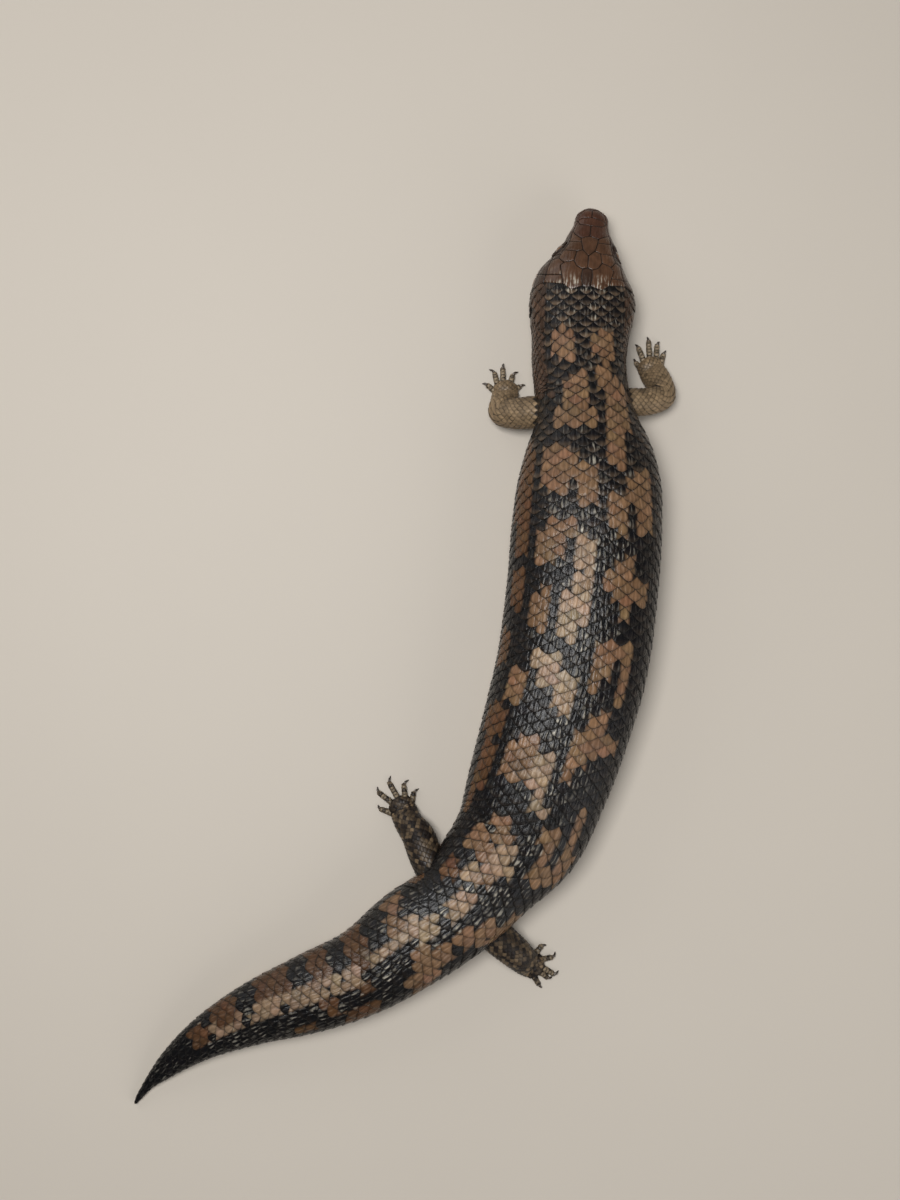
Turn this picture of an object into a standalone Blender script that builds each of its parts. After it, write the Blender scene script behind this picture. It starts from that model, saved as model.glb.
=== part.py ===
"""Blotched blue-tongued skink, a still life-size model lying on its belly with its body in a gentle curve.

Units are metres with +Z up.  The origin is on the flat of the belly under the middle of the trunk and
+Y runs forward, toward the head.  The animal's right side is at +X.  Every length of the trunk, neck and
tail is cut from one body surface, which is set by a table of named cross-sections.  Sizes are written in
millimetres and scaled once, by MM.
"""

from __future__ import annotations

import math
from dataclasses import dataclass

import bmesh
import bpy
import numpy as np
from mathutils import Matrix, Vector

MM = 0.001

# Clearances and mesh densities
GAP = 0.3                      # between neighbouring nodes
BODY_SIDES = 28                # facets round the trunk and tail
HEAD_SIDES = 28                # facets round the head
BODY_STEP = 6.0                # distance between the trunk's rings
HEAD_STEP = 3.2                # distance between the head's rings
LIMB_SIDES = 12
TOE_SIDES = 7
CLAW_SIDES = 5
WELD = 1e-6                    # metres
FLAT_ANGLE = math.radians(0.6)  # facets that meet at less than this are one facet

# The whole animal
FLOOR = 0.0                    # every flat lies at this height
TOP_POWER = 2.3                # roundness of the back's section
BELLY_POWER = 2.9              # the belly is squarer
HEAD_POWER = 2.6               # the head's roof is flatter than the back
SNOUT_ROUNDING = 5.6           # length over which the snout's tip rounds off
TIP_BLUNTNESS = 0.7            # the tips round off later in height than in width
TAIL_ROUNDING = 5.0            # and the tail's

ROOF_END = 24.0                # the flat part of the head's roof ends here, behind the snout

# Where the body is divided, measured back from the snout
HEAD_END = 47.0
NECK_END = 68.0
FRONT_END = 128.0
MIDDLE_END = 196.0
REAR_END = 262.0
HIPS_END = 314.0
TAIL_BASE_END = 360.0
TAIL_MIDDLE_END = 406.0

# Eyes, ears, nostrils and mouth
EYE_RADIUS = 3.1
EYE_BACK = 19.0                # behind the snout's tip
EYE_HEIGHT = 18.8
EYE_BULGE = 0.75               # how far the eye stands out of the head's surface
LID_LENGTH = 2.9               # half-length and half-height of the lids' opening
LID_HEIGHT = 2.3
LID_THICKNESS = 0.75
NOSTRIL_BACK = 4.2
NOSTRIL_HEIGHT = 13.2
NOSTRIL_RADIUS = 0.62
EAR_BACK = 42.6
EAR_HEIGHT = 16.0
EAR_SIZE = (1.5, 1.9, 2.7)     # half-length, half-depth and half-height of the opening
MOUTH_LINE_RADIUS = 0.42

# Head shields stand proud of the skin and their roots go in below it
SHIELD_RISE = 0.5
SHIELD_ROOT = 1.2
SHIELD_SLOPE = 0.3             # how far the edge slopes in at the top
SHIELD_EDGE = 3.2              # longest stretch of an outline without a corner
SHIELD_SEAM = 0.18             # each outline is drawn in by this much
LABIAL_RISE = 0.5


@dataclass(frozen=True)
class Section:
    """One named cross-section: its place in plan, its two half-widths and its height above the floor."""

    name: str
    x: float
    y: float
    left: float
    right: float
    top: float
    bottom: float
    widest: float


SECTIONS = (
    Section("snout tip", 4.2, 151.6, 6.3, 6.6, 17.0, 6.8, 11.5),
    Section("nostril", 3.2, 142.9, 6.9, 7.9, 20.5, 6.2, 11.8),
    Section("bridge", 2.6, 138.9, 8.7, 9.9, 23.0, 5.8, 12.0),
    Section("front of eye", 2.2, 134.6, 10.8, 11.7, 25.4, 5.4, 12.2),
    Section("eye", 1.7, 130.6, 13.6, 13.5, 27.4, 5.0, 12.5),
    Section("behind eye", 1.3, 126.6, 16.8, 15.7, 28.8, 4.6, 12.8),
    Section("temple", 0.8, 122.0, 19.5, 18.2, 30.0, 4.2, 13.2),
    Section("jowl", 0.4, 114.5, 21.5, 20.9, 31.0, 3.6, 13.6),
    Section("ear", 0.3, 108.5, 21.5, 20.9, 31.5, 3.2, 14.0),
    Section("nape", 0.2, 101.0, 20.6, 19.2, 32.2, 2.6, 14.5),
    Section("neck", 0.8, 90.5, 21.2, 17.2, 33.5, 1.6, 16.0),
    Section("neck root", 2.7, 77.9, 22.0, 15.6, 35.7, 0.2, 17.5),
    Section("shoulder", 2.4, 67.5, 20.8, 19.4, 38.0, -0.8, 18.5),
    Section("chest", 2.2, 55.0, 24.4, 25.2, 40.8, -1.5, 19.5),
    Section("front ribs", 2.1, 41.7, 28.0, 28.6, 42.5, -1.5, 20.0),
    Section("ribs", 1.9, 22.0, 30.4, 29.4, 43.3, -1.5, 20.0),
    Section("middle", -0.1, -0.5, 30.2, 30.0, 43.5, -1.5, 20.0),
    Section("waist", -5.3, -36.2, 30.0, 30.0, 42.5, -1.5, 19.5),
    Section("flank", -9.9, -53.2, 29.4, 29.5, 41.5, -1.5, 19.0),
    Section("loin", -17.5, -78.2, 28.1, 28.1, 39.0, -1.5, 18.0),
    Section("rear loin", -25.6, -99.5, 25.8, 25.8, 35.8, -1.3, 17.0),
    Section("hip", -37.4, -115.0, 22.3, 22.0, 32.8, -1.0, 16.0),
    Section("vent", -51.0, -129.8, 20.1, 20.1, 31.2, -0.8, 15.3),
    Section("tail root", -66.8, -140.8, 20.0, 20.0, 29.8, -0.8, 14.8),
    Section("tail front", -88.0, -155.6, 17.4, 17.4, 26.6, -0.8, 13.3),
    Section("tail middle", -108.6, -164.4, 15.9, 15.9, 23.4, -0.7, 12.0),
    Section("tail rear", -133.7, -174.1, 12.3, 12.3, 18.5, -0.6, 9.5),
    Section("tail taper", -153.9, -184.8, 8.4, 8.4, 13.2, -0.5, 6.6),
    Section("tail narrow", -170.1, -197.7, 4.4, 4.4, 7.4, -0.3, 3.6),
    Section("tail point", -177.4, -205.4, 2.0, 2.0, 3.9, -0.1, 1.9),
    Section("tail tip", -182.2, -212.5, 1.1, 1.1, 2.4, 0.0, 1.2),
)


@dataclass(frozen=True)
class Joint:
    """A place along a leg: its centre and the half-thickness of the flesh, across and up."""

    x: float
    y: float
    z: float
    across: float
    up: float


@dataclass(frozen=True)
class Toe:
    """A toe of a foot: where it leaves the palm, how it runs, and how its claw turns.

    Bearings are in degrees clockwise from +Y, seen from above.
    """

    root_bearing: float
    root_distance: float
    bearing: float
    length: float
    claw_bearing: float
    claw_length: float


@dataclass(frozen=True)
class Leg:
    """A leg from its root in the body to its palm, and the foot's five toes."""

    name: str
    foot_name: str
    joints: tuple[Joint, ...]
    palm: tuple[float, float, float]
    palm_bearing: float
    toes: tuple[Toe, ...]


PALM_LENGTH = 4.6              # half-length of a palm
PALM_HEIGHT = 3.6              # half-height before the sole is cut flat
TOE_RADIUS = 1.15
CLAW_RADIUS = 0.72
CLAW_TIP_RADIUS = 0.24

LEGS = (
    Leg("foreleg_left", "forefoot_left",
        (Joint(-8.0, 69.3, 16.0, 7.2, 7.2), Joint(-19.0, 69.6, 13.5, 6.6, 6.6),
         Joint(-27.0, 69.4, 10.0, 6.2, 6.0), Joint(-31.6, 70.6, 7.4, 5.8, 5.4),
         Joint(-31.0, 74.2, 5.2, 5.6, 4.6)),
        (-30.3, 78.6, 1.6), -4.0,
        (Toe(-84, 4.0, -49, 5.0, -78, 2.4), Toe(-58, 3.4, -14, 7.2, -62, 3.2),
         Toe(-21, 2.4, -2, 8.6, 12, 2.6), Toe(33, 2.9, 15, 5.6, 72, 3.2),
         Toe(84, 2.8, 50, 4.4, 84, 2.6))),
    Leg("foreleg_right", "forefoot_right",
        (Joint(10.0, 72.8, 16.0, 6.4, 6.6), Joint(19.0, 73.6, 13.5, 5.6, 6.2),
         Joint(28.0, 74.4, 10.5, 5.5, 5.8), Joint(33.0, 77.0, 7.6, 5.4, 5.4),
         Joint(32.0, 82.2, 5.2, 5.6, 4.6)),
        (29.2, 88.2, 1.6), -24.0,
        (Toe(-92, 3.8, -38, 4.4, -16, 1.9), Toe(-45, 3.9, -20, 7.2, -48, 2.4),
         Toe(-8, 3.7, -3, 8.6, -18, 2.5), Toe(31, 4.0, 4, 7.3, 40, 2.2),
         Toe(76, 3.8, 15, 6.2, 42, 2.2))),
    Leg("hindleg_left", "hindfoot_left",
        (Joint(-50.0, -128.0, 16.0, 7.6, 8.0), Joint(-58.2, -117.4, 14.5, 7.0, 7.6),
         Joint(-63.0, -108.4, 12.0, 6.8, 7.2), Joint(-66.0, -101.4, 9.0, 6.6, 6.4),
         Joint(-69.8, -96.6, 6.0, 5.7, 5.0)),
        (-72.4, -91.4, 1.6), -28.0,
        (Toe(78, 3.4, 12, 6.4, 62, 3.0), Toe(31, 2.4, -6, 8.4, 60, 3.4),
         Toe(-20, 2.8, -30, 9.8, 20, 3.4), Toe(-66, 3.0, -53, 9.4, -8, 3.0),
         Toe(-114, 4.6, -71, 5.6, -26, 2.3))),
    Leg("hindleg_right", "hindfoot_right",
        (Joint(-45.0, -133.0, 16.0, 8.2, 8.0), Joint(-37.0, -139.2, 14.0, 7.2, 7.2),
         Joint(-30.4, -145.0, 11.5, 6.8, 6.8), Joint(-25.6, -149.6, 8.5, 6.4, 6.0),
         Joint(-23.0, -152.6, 5.6, 5.8, 4.8)),
        (-19.9, -155.0, 1.6), 112.0,
        (Toe(172, 3.8, 150, 5.8, 134, 2.4), Toe(133, 2.8, 128, 6.6, 66, 2.4),
         Toe(95, 3.0, 122, 8.0, 40, 3.0), Toe(57, 3.2, 81, 6.6, 18, 3.0),
         Toe(16, 3.8, 42, 5.6, 96, 2.2))),
)


@dataclass(frozen=True)
class Shield:
    """A head shield: its outline as (distance behind the snout, distance from the middle) pairs.

    A paired shield is given for the right side and mirrored to the left.
    """

    name: str
    paired: bool
    outline: tuple[tuple[float, float], ...]


SHIELDS = (
    Shield("nasal", True, ((2.3, 0.2), (2.7, 3.4), (5.0, 5.2), (5.2, 0.2))),
    Shield("frontonasal", False,
           ((5.5, -5.0), (5.5, 5.0), (7.3, 6.2), (7.3, -6.2))),
    Shield("prefrontal", True,
           ((7.6, 0.2), (7.6, 6.3), (9.2, 6.4), (11.2, 3.5), (10.6, 0.2))),
    Shield("frontal", False,
           ((10.9, 0.0), (11.6, 3.3), (13.8, 3.3), (18.0, 0.0), (13.8, -3.3), (11.6, -3.3))),
    Shield("front supraocular", True,
           ((9.7, 6.5), (12.0, 8.0), (13.5, 7.9), (13.7, 3.7), (11.6, 3.7))),
    Shield("middle supraocular", True,
           ((13.9, 8.2), (17.0, 9.3), (17.5, 5.6), (16.3, 2.5), (14.1, 3.7))),
    Shield("rear supraocular", True,
           ((17.5, 9.6), (20.1, 10.4), (21.4, 8.8), (20.6, 5.8), (18.0, 5.8))),
    Shield("frontoparietal", True,
           ((16.8, 2.0), (18.4, 5.2), (20.8, 5.3), (23.0, 2.6), (21.7, 0.2), (18.5, 0.2))),
    Shield("interparietal", False,
           ((22.3, 0.0), (23.6, 2.0), (27.4, 2.3), (31.0, 1.3), (31.0, -1.3), (27.4, -2.3), (23.6, -2.0))),
    Shield("parietal", True,
           ((21.2, 5.2), (21.7, 9.0), (24.2, 11.2), (28.5, 10.0), (31.6, 6.6), (31.2, 1.7),
            (27.5, 2.7), (23.6, 2.5))),
    Shield("temporal", True,
           ((21.8, 11.2), (22.6, 13.6), (27.0, 15.8), (30.8, 14.8), (31.4, 10.8), (28.8, 10.4), (24.4, 11.6))),
)
LABIALS = 7                    # plates along each lip, on each side
LABIAL_FRONT = 2.2
LABIAL_REAR = 33.0
UPPER_LIP_DEPTH = 3.6
LOWER_LIP_DEPTH = 3.0
LABIAL_SEAM = 0.35

SKIN_DARK = (0.035, 0.030, 0.030, 1.0)
SKIN_BROWN = (0.20, 0.125, 0.070, 1.0)
SHIELD_BROWN = (0.13, 0.070, 0.038, 1.0)
FOOT_TAN = (0.30, 0.235, 0.165, 1.0)
EYE_BROWN = (0.045, 0.022, 0.012, 1.0)


def smooth_table(knots: np.ndarray, values: np.ndarray, at: np.ndarray) -> np.ndarray:
    """Read a table along a smooth curve through its values.

    Args:
        knots: increasing places of the table's rows.
        values: the value at each place.
        at: places to read.

    Returns:
        The curve's value at each place asked for.
    """
    slopes = np.gradient(values, knots)
    index = np.clip(np.searchsorted(knots, at) - 1, 0, len(knots) - 2)
    width = knots[index + 1] - knots[index]
    t = (at - knots[index]) / width
    rise = values[index + 1] - values[index]
    inside = values[index] + t * t * (3 - 2 * t) * rise
    lead = (t ** 3 - 2 * t ** 2 + t) * width * slopes[index]
    trail = (t ** 3 - t ** 2) * width * slopes[index + 1]
    return inside + lead + trail


class Body:
    """The skink's body surface, from the snout's tip to the tail's, in millimetres."""

    def __init__(self, sections: tuple[Section, ...]) -> None:
        """Lay the sections out along the animal.

        Args:
            sections: the cross-sections from front to back.
        """
        plan = np.array([(c.x, c.y) for c in sections])
        steps = np.linalg.norm(np.diff(plan, axis=0), axis=1)
        self.places = np.concatenate(([0.0], np.cumsum(steps)))
        self.length = float(self.places[-1])
        self.columns = {field: np.array([getattr(c, field) for c in sections])
                        for field in ("x", "y", "left", "right", "top", "bottom", "widest")}

    def read(self, field: str, s: float) -> float:
        """Return one size of the section at a distance s behind the snout."""
        return float(smooth_table(self.places, self.columns[field], np.array([s]))[0])

    def rounding(self, s: float) -> float:
        """Return how full the section is at s: 1 along the body and 0 at the two tips."""
        front = min(max(s / SNOUT_ROUNDING, 0.0), 1.0)
        back = min(max((self.length - s) / TAIL_ROUNDING, 0.0), 1.0)
        return math.sqrt((2 - front) * front) * math.sqrt((2 - back) * back)

    def height_rounding(self, s: float) -> float:
        """Return how full the section is in height at s."""
        return self.rounding(s) ** TIP_BLUNTNESS

    def right(self, s: float) -> Vector:
        """Return the unit vector toward the animal's right at s."""
        step = 0.5
        ahead, behind = max(s - step, 0.0), min(s + step, self.length)
        back = Vector((self.read("x", behind) - self.read("x", ahead),
                       self.read("y", behind) - self.read("y", ahead), 0.0)).normalized()
        return Vector((-back.y, back.x, 0.0))

    def power(self, s: float) -> float:
        """Return the roundness of the upper half at s."""
        blend = min(max((s - ROOF_END) / (HEAD_END - ROOF_END), 0.0), 1.0)
        return HEAD_POWER + (TOP_POWER - HEAD_POWER) * blend

    def point(self, s: float, angle: float, grow: float = 0.0, floor: float = FLOOR) -> Vector:
        """Return the surface point at s and an angle round the section.

        Args:
            s: distance behind the snout.
            angle: 0 on the back's middle, positive toward the right, in radians.
            grow: how far the section is grown outward.
            floor: the height below which nothing goes.
        """
        fullness = self.height_rounding(s)
        middle = self.read("widest", s)
        sine, cosine = math.sin(angle), math.cos(angle)
        half = self.read("right" if sine > 0 else "left", s) * self.rounding(s) + grow
        if cosine > 0:
            reach = (self.read("top", s) - middle) * fullness + grow
            power = self.power(s)
        else:
            reach = (middle - self.read("bottom", s)) * fullness + grow
            power = BELLY_POWER
        across = math.copysign(abs(sine) ** (2 / power), sine) * half
        height = middle + math.copysign(abs(cosine) ** (2 / power), cosine) * reach
        centre = Vector((self.read("x", s), self.read("y", s), max(height, floor)))
        return centre + self.right(s) * across

    def roof_point(self, s: float, across: float, grow: float = 0.0) -> Vector:
        """Return the point of the upper surface at s, a distance across from the middle."""
        half = self.read("right" if across > 0 else "left", s) * self.rounding(s)
        share = min(abs(across) / half, 1.0)
        angle = math.asin(share ** (self.power(s) / 2))
        return self.point(s, math.copysign(angle, across), grow)

    def side_point(self, s: float, height: float, side: int, grow: float = 0.0) -> Vector:
        """Return the surface point at s and a height, on the right (1) or left (-1) side."""
        fullness = self.height_rounding(s)
        middle = self.read("widest", s)
        if height > middle:
            share = min((height - middle) / ((self.read("top", s) - middle) * fullness), 1.0)
            angle = math.acos(share ** (self.power(s) / 2))
        else:
            share = min((middle - height) / ((middle - self.read("bottom", s)) * fullness), 1.0)
            angle = math.pi - math.acos(share ** (BELLY_POWER / 2))
        return self.point(s, side * angle, grow)


BODY = Body(SECTIONS)


def mouth_height(s: float) -> float:
    """Return the height of the line of the mouth at s: nearly level, then rising to its corner."""
    rise = max(s - 26.0, 0.0)
    return 10.2 + 0.05 * s + 0.022 * rise * rise


def clear_scene() -> None:
    """Remove what the scene holds."""
    for item in list(bpy.data.objects):
        bpy.data.objects.remove(item, do_unlink=True)


def make_collection(name: str) -> bpy.types.Collection:
    """Add a collection to the scene and return it."""
    collection = bpy.data.collections.new(name)
    bpy.context.scene.collection.children.link(collection)
    return collection


def make_material(name: str, colour: tuple[float, ...], roughness: float) -> bpy.types.Material:
    """Return a Principled material of one colour."""
    material = bpy.data.materials.new(name)
    material.use_nodes = True
    shader = material.node_tree.nodes["Principled BSDF"]
    shader.inputs["Base Color"].default_value = colour
    shader.inputs["Roughness"].default_value = roughness
    shader.inputs["Metallic"].default_value = 0.0
    return material


def object_from(bm: bmesh.types.BMesh, name: str, collection: bpy.types.Collection) -> bpy.types.Object:
    """Weld a mesh in millimetres, turn its faces out and return it as an object in metres."""
    bmesh.ops.scale(bm, vec=(MM, MM, MM), verts=bm.verts)
    bmesh.ops.remove_doubles(bm, verts=bm.verts, dist=WELD)
    bmesh.ops.holes_fill(bm, edges=[e for e in bm.edges if e.is_boundary], sides=0)
    bmesh.ops.triangulate(bm, faces=bm.faces)
    bmesh.ops.recalc_face_normals(bm, faces=bm.faces)
    mesh = bpy.data.meshes.new(name)
    bm.to_mesh(mesh)
    bm.free()
    item = bpy.data.objects.new(name, mesh)
    collection.objects.link(item)
    return item


def roll_grid(rows: int, sides: int, place) -> bmesh.types.BMesh:
    """Roll a flat grid into a closed tube.

    Args:
        rows: number of rings.
        sides: number of facets round the tube.
        place: function of a ring's number and an angle, returning the point in millimetres.
    """
    bm = bmesh.new()
    bmesh.ops.create_grid(bm, x_segments=sides, y_segments=rows - 1, size=0.5)
    for vertex in bm.verts:
        angle = vertex.co.x * 2 * math.pi
        ring = round((vertex.co.y + 0.5) * (rows - 1))
        vertex.co = place(ring, angle)
    return bm


def body_places(start: float, end: float, step: float) -> list[float]:
    """Return the rings' places from start to end, closer together at the animal's two tips."""
    count = max(round((end - start) / step), 3)
    places = list(np.linspace(start, end, count + 1))
    if start <= 0.0:
        tip = [SNOUT_ROUNDING * (1 - math.cos(turn)) for turn in np.linspace(0.0, math.pi / 2, 6)]
        places = tip + [s for s in places if s > SNOUT_ROUNDING + step / 2]
    if end >= BODY.length:
        tip = [BODY.length - TAIL_ROUNDING * (1 - math.cos(turn))
               for turn in np.linspace(math.pi / 2, 0.0, 5)]
        places = [s for s in places if s < BODY.length - TAIL_ROUNDING - step / 2] + tip
    return places


def body_length(name: str, start: float, end: float, step: float, sides: int,
                collection: bpy.types.Collection, grow: float = 0.0,
                floor: float = FLOOR) -> bpy.types.Object:
    """Return one length of the body as a closed object, its ends flat and square to the middle line."""
    places = body_places(start, end, step)
    bm = roll_grid(len(places), sides, lambda ring, angle: BODY.point(places[ring], angle, grow, floor))
    return object_from(bm, name, collection)


def evaluate(item: bpy.types.Object) -> None:
    """Replace an object's mesh by what its modifiers make of it."""
    bpy.context.view_layer.update()
    graph = bpy.context.evaluated_depsgraph_get()
    result = bpy.data.meshes.new_from_object(item.evaluated_get(graph))
    item.modifiers.clear()
    item.data = result


def keep_largest(item: bpy.types.Object) -> None:
    """Keep an object's largest closed surface only, in as few triangles as its flat facets need."""
    bm = bmesh.new()
    bm.from_mesh(item.data)
    bmesh.ops.remove_doubles(bm, verts=bm.verts, dist=WELD)
    bmesh.ops.dissolve_limit(bm, angle_limit=FLAT_ANGLE, verts=bm.verts, edges=bm.edges)
    bmesh.ops.triangulate(bm, faces=bm.faces)
    left = set(bm.verts)
    islands = []
    while left:
        island, front = set(), [left.pop()]
        while front:
            vertex = front.pop()
            island.add(vertex)
            near = {edge.other_vert(vertex) for edge in vertex.link_edges} & left
            left -= near
            front.extend(near)
        islands.append(island)
    islands.sort(key=len, reverse=True)
    for island in islands[1:]:
        bmesh.ops.delete(bm, geom=list(island), context="VERTS")
    bm.to_mesh(item.data)
    bm.free()


def combine(item: bpy.types.Object, others: list[bpy.types.Object], operation: str,
            solver: str = "MANIFOLD") -> None:
    """Join other objects to an object, or cut them from it, and remove them."""
    group = make_collection("joining")
    for other in others:
        for collection in list(other.users_collection):
            collection.objects.unlink(other)
        group.objects.link(other)
    modifier = item.modifiers.new("boolean", "BOOLEAN")
    modifier.operation = operation
    modifier.operand_type = "COLLECTION"
    modifier.collection = group
    modifier.solver = solver
    evaluate(item)
    for other in others:
        bpy.data.objects.remove(other, do_unlink=True)
    bpy.data.collections.remove(group)
    keep_largest(item)


def tube(name: str, centres: list[Vector], radii: list[tuple[float, float]], sides: int,
         collection: bpy.types.Collection, floor: float = FLOOR) -> bpy.types.Object:
    """Return a closed tube of changing oval section along a path.

    Args:
        name: the object's name.
        centres: the path's points in millimetres.
        radii: the half-thickness at each point, across and up.
        sides: facets round the tube.
        collection: where the object goes.
        floor: the height below which nothing goes.
    """
    def place(ring: int, angle: float) -> Vector:
        ahead = centres[min(ring + 1, len(centres) - 1)] - centres[max(ring - 1, 0)]
        across = ahead.cross(Vector((0, 0, 1))).normalized()
        up = across.cross(ahead).normalized()
        wide, high = radii[ring]
        spot = centres[ring] + across * (math.sin(angle) * wide) + up * (math.cos(angle) * high)
        spot.z = max(spot.z, floor)
        return spot

    return object_from(roll_grid(len(centres), sides, place), name, collection)


def ellipsoid(name: str, centre: Vector, half_sizes: tuple[float, float, float], turn: Matrix,
              sides: int, collection: bpy.types.Collection, floor: float | None = None) -> bpy.types.Object:
    """Return a closed ellipsoid, cut flat at the floor where one is given."""
    bm = bmesh.new()
    bmesh.ops.create_uvsphere(bm, u_segments=sides, v_segments=sides * 2 // 3, radius=1.0)
    bmesh.ops.scale(bm, vec=half_sizes, verts=bm.verts)
    bmesh.ops.transform(bm, matrix=Matrix.Translation(centre) @ turn, verts=bm.verts)
    if floor is not None:
        for vertex in bm.verts:
            vertex.co.z = max(vertex.co.z, floor)
    return object_from(bm, name, collection)


def plate(name: str, rim: list[tuple[Vector, Vector]], crown: Vector,
          collection: bpy.types.Collection) -> bpy.types.Object:
    """Return a raised plate with a sloping edge and a sunk root.

    Args:
        name: the object's name.
        rim: for each corner, its point on top of the plate and its point at the root.
        crown: the middle of the plate's top.
        collection: where the object goes.
    """
    bm = bmesh.new()
    bmesh.ops.create_circle(bm, cap_ends=True, segments=len(rim), radius=1.0)
    for vertex, (_, root) in zip(list(bm.verts), rim):
        vertex.co = root
    grown = bmesh.ops.extrude_face_region(bm, geom=list(bm.faces), use_keep_orig=True)
    tops = [v for v in grown["geom"] if isinstance(v, bmesh.types.BMVert)]
    roof = [f for f in grown["geom"] if isinstance(f, bmesh.types.BMFace)]
    for vertex in tops:
        top = min(rim, key=lambda pair: (pair[1] - vertex.co).length)[0]
        vertex.co = top + (crown - top).normalized() * SHIELD_SLOPE
    hub = bmesh.ops.poke(bm, faces=roof)["verts"][0]
    hub.co = crown
    return object_from(bm, name, collection)


def shield_outline(shield: Shield) -> list[np.ndarray]:
    """Return a shield's outline drawn in by the seam, with no long stretch between its corners."""
    corners = np.array(shield.outline)
    middle = corners.mean(axis=0)
    inward = middle - corners
    corners = corners + inward / np.linalg.norm(inward, axis=1, keepdims=True) * SHIELD_SEAM
    outline = []
    for start, end in zip(corners, np.roll(corners, -1, axis=0)):
        pieces = max(math.ceil(np.linalg.norm(end - start) / SHIELD_EDGE), 1)
        outline.extend(start + (end - start) * step / pieces for step in range(pieces))
    return outline


def roof_plates(collection: bpy.types.Collection) -> list[bpy.types.Object]:
    """Return the shields of the head's roof."""
    pieces = []
    for shield in SHIELDS:
        outline = shield_outline(shield)
        middle = np.mean(outline, axis=0)
        for side in (1, -1) if shield.paired else (1,):
            rim = [(BODY.roof_point(s, side * across, SHIELD_RISE), BODY.roof_point(s, side * across, -SHIELD_ROOT))
                   for s, across in outline]
            crown = BODY.roof_point(middle[0], side * middle[1], SHIELD_RISE)
            pieces.append(plate(shield.name, rim, crown, collection))
    return pieces


def labial_plates(collection: bpy.types.Collection) -> list[bpy.types.Object]:
    """Return the rows of plates along the upper and lower lips."""
    pieces = []
    edges = np.linspace(LABIAL_FRONT, LABIAL_REAR, LABIALS + 1)
    for side in (1, -1):
        for front, rear in zip(edges[:-1], edges[1:]):
            ends = (front + LABIAL_SEAM / 2, rear - LABIAL_SEAM / 2)
            for low, high in ((0.5, UPPER_LIP_DEPTH), (-LOWER_LIP_DEPTH, -0.5)):
                corners = [(ends[0], low), (ends[1], low), (ends[1], high), (ends[0], high)]
                rim = [(BODY.side_point(s, mouth_height(s) + rise, side, LABIAL_RISE),
                        BODY.side_point(s, mouth_height(s) + rise, side, -SHIELD_ROOT))
                       for s, rise in corners]
                middle = (front + rear) / 2
                crown = BODY.side_point(middle, mouth_height(middle) + (low + high) / 2, side, LABIAL_RISE)
                pieces.append(plate("labial", rim, crown, collection))
    return pieces


def mouth_cutter(collection: bpy.types.Collection) -> bpy.types.Object:
    """Return the thin tube that cuts the line of the mouth, from corner to corner round the snout."""
    half = [33.5, 30.0, 26.0, 22.0, 18.0, 14.0, 10.5, 7.5, 5.0, 3.0, 1.6, 0.6, 0.15]
    left = [BODY.side_point(s, mouth_height(s), -1) for s in half]
    right = [BODY.side_point(s, mouth_height(s), 1) for s in reversed(half)]
    centres = left + right
    return tube("mouth line", centres, [(MOUTH_LINE_RADIUS, MOUTH_LINE_RADIUS)] * len(centres), 6, collection)


def head_turn(s: float) -> Matrix:
    """Return the rotation that lines +X up with the animal's right at s."""
    right = BODY.right(s)
    return Matrix.Rotation(math.atan2(right.y, right.x), 4, "Z")


def cheek_normal(side: int) -> Vector:
    """Return the unit vector out of the head's surface at an eye."""
    step = 1.5
    back = BODY.side_point(EYE_BACK + step, EYE_HEIGHT, side) - BODY.side_point(EYE_BACK - step, EYE_HEIGHT, side)
    up = BODY.side_point(EYE_BACK, EYE_HEIGHT + step, side) - BODY.side_point(EYE_BACK, EYE_HEIGHT - step, side)
    return (up.cross(back) * side).normalized()


def eye_centre(side: int) -> Vector:
    """Return the centre of an eye, on the right (1) or left (-1)."""
    surface = BODY.side_point(EYE_BACK, EYE_HEIGHT, side)
    return surface - cheek_normal(side) * (EYE_RADIUS - EYE_BULGE)


def lid_ring(side: int, collection: bpy.types.Collection) -> bpy.types.Object:
    """Return the rim of an eye's upper and lower lids, which lies along the head's surface."""
    steps = 16
    normal = cheek_normal(side)

    def place(ring: int, angle: float) -> Vector:
        turn = 2 * math.pi * ring / steps
        spot = BODY.side_point(EYE_BACK - math.cos(turn) * LID_LENGTH,
                               EYE_HEIGHT + math.sin(turn) * LID_HEIGHT, side)
        out = (spot - BODY.side_point(EYE_BACK, EYE_HEIGHT, side)).normalized()
        return (spot + out * (math.cos(angle) * LID_THICKNESS)
                + normal * ((math.sin(angle) + 0.2) * LID_THICKNESS))

    return object_from(roll_grid(steps + 1, 8, place), "lid", collection)


def build_head(parts: bpy.types.Collection) -> None:
    """Make the head with its shields, lids, nostrils, ears and mouth line."""
    head = body_length("head", 0.0, HEAD_END - GAP / 2, HEAD_STEP, HEAD_SIDES, parts)
    combine(head, roof_plates(parts) + labial_plates(parts), "UNION")
    combine(head, [lid_ring(side, parts) for side in (1, -1)], "UNION")
    cutters = [mouth_cutter(parts)]
    for side in (1, -1):
        cutters.append(ellipsoid("socket", eye_centre(side), (EYE_RADIUS + GAP,) * 3, Matrix(), 14, parts))
        nostril = BODY.side_point(NOSTRIL_BACK, NOSTRIL_HEIGHT, side)
        cutters.append(ellipsoid("nostril", nostril, (NOSTRIL_RADIUS,) * 3, Matrix(), 10, parts))
        ear = BODY.side_point(EAR_BACK, EAR_HEIGHT, side)
        turn = head_turn(EAR_BACK)
        cutters.append(ellipsoid("ear", ear, (EAR_SIZE[1], EAR_SIZE[0], EAR_SIZE[2]), turn, 12, parts))
    combine(head, cutters, "DIFFERENCE")
    head.data.materials.clear()
    head.data.materials.append(make_material("head skin", SHIELD_BROWN, 0.45))


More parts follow.
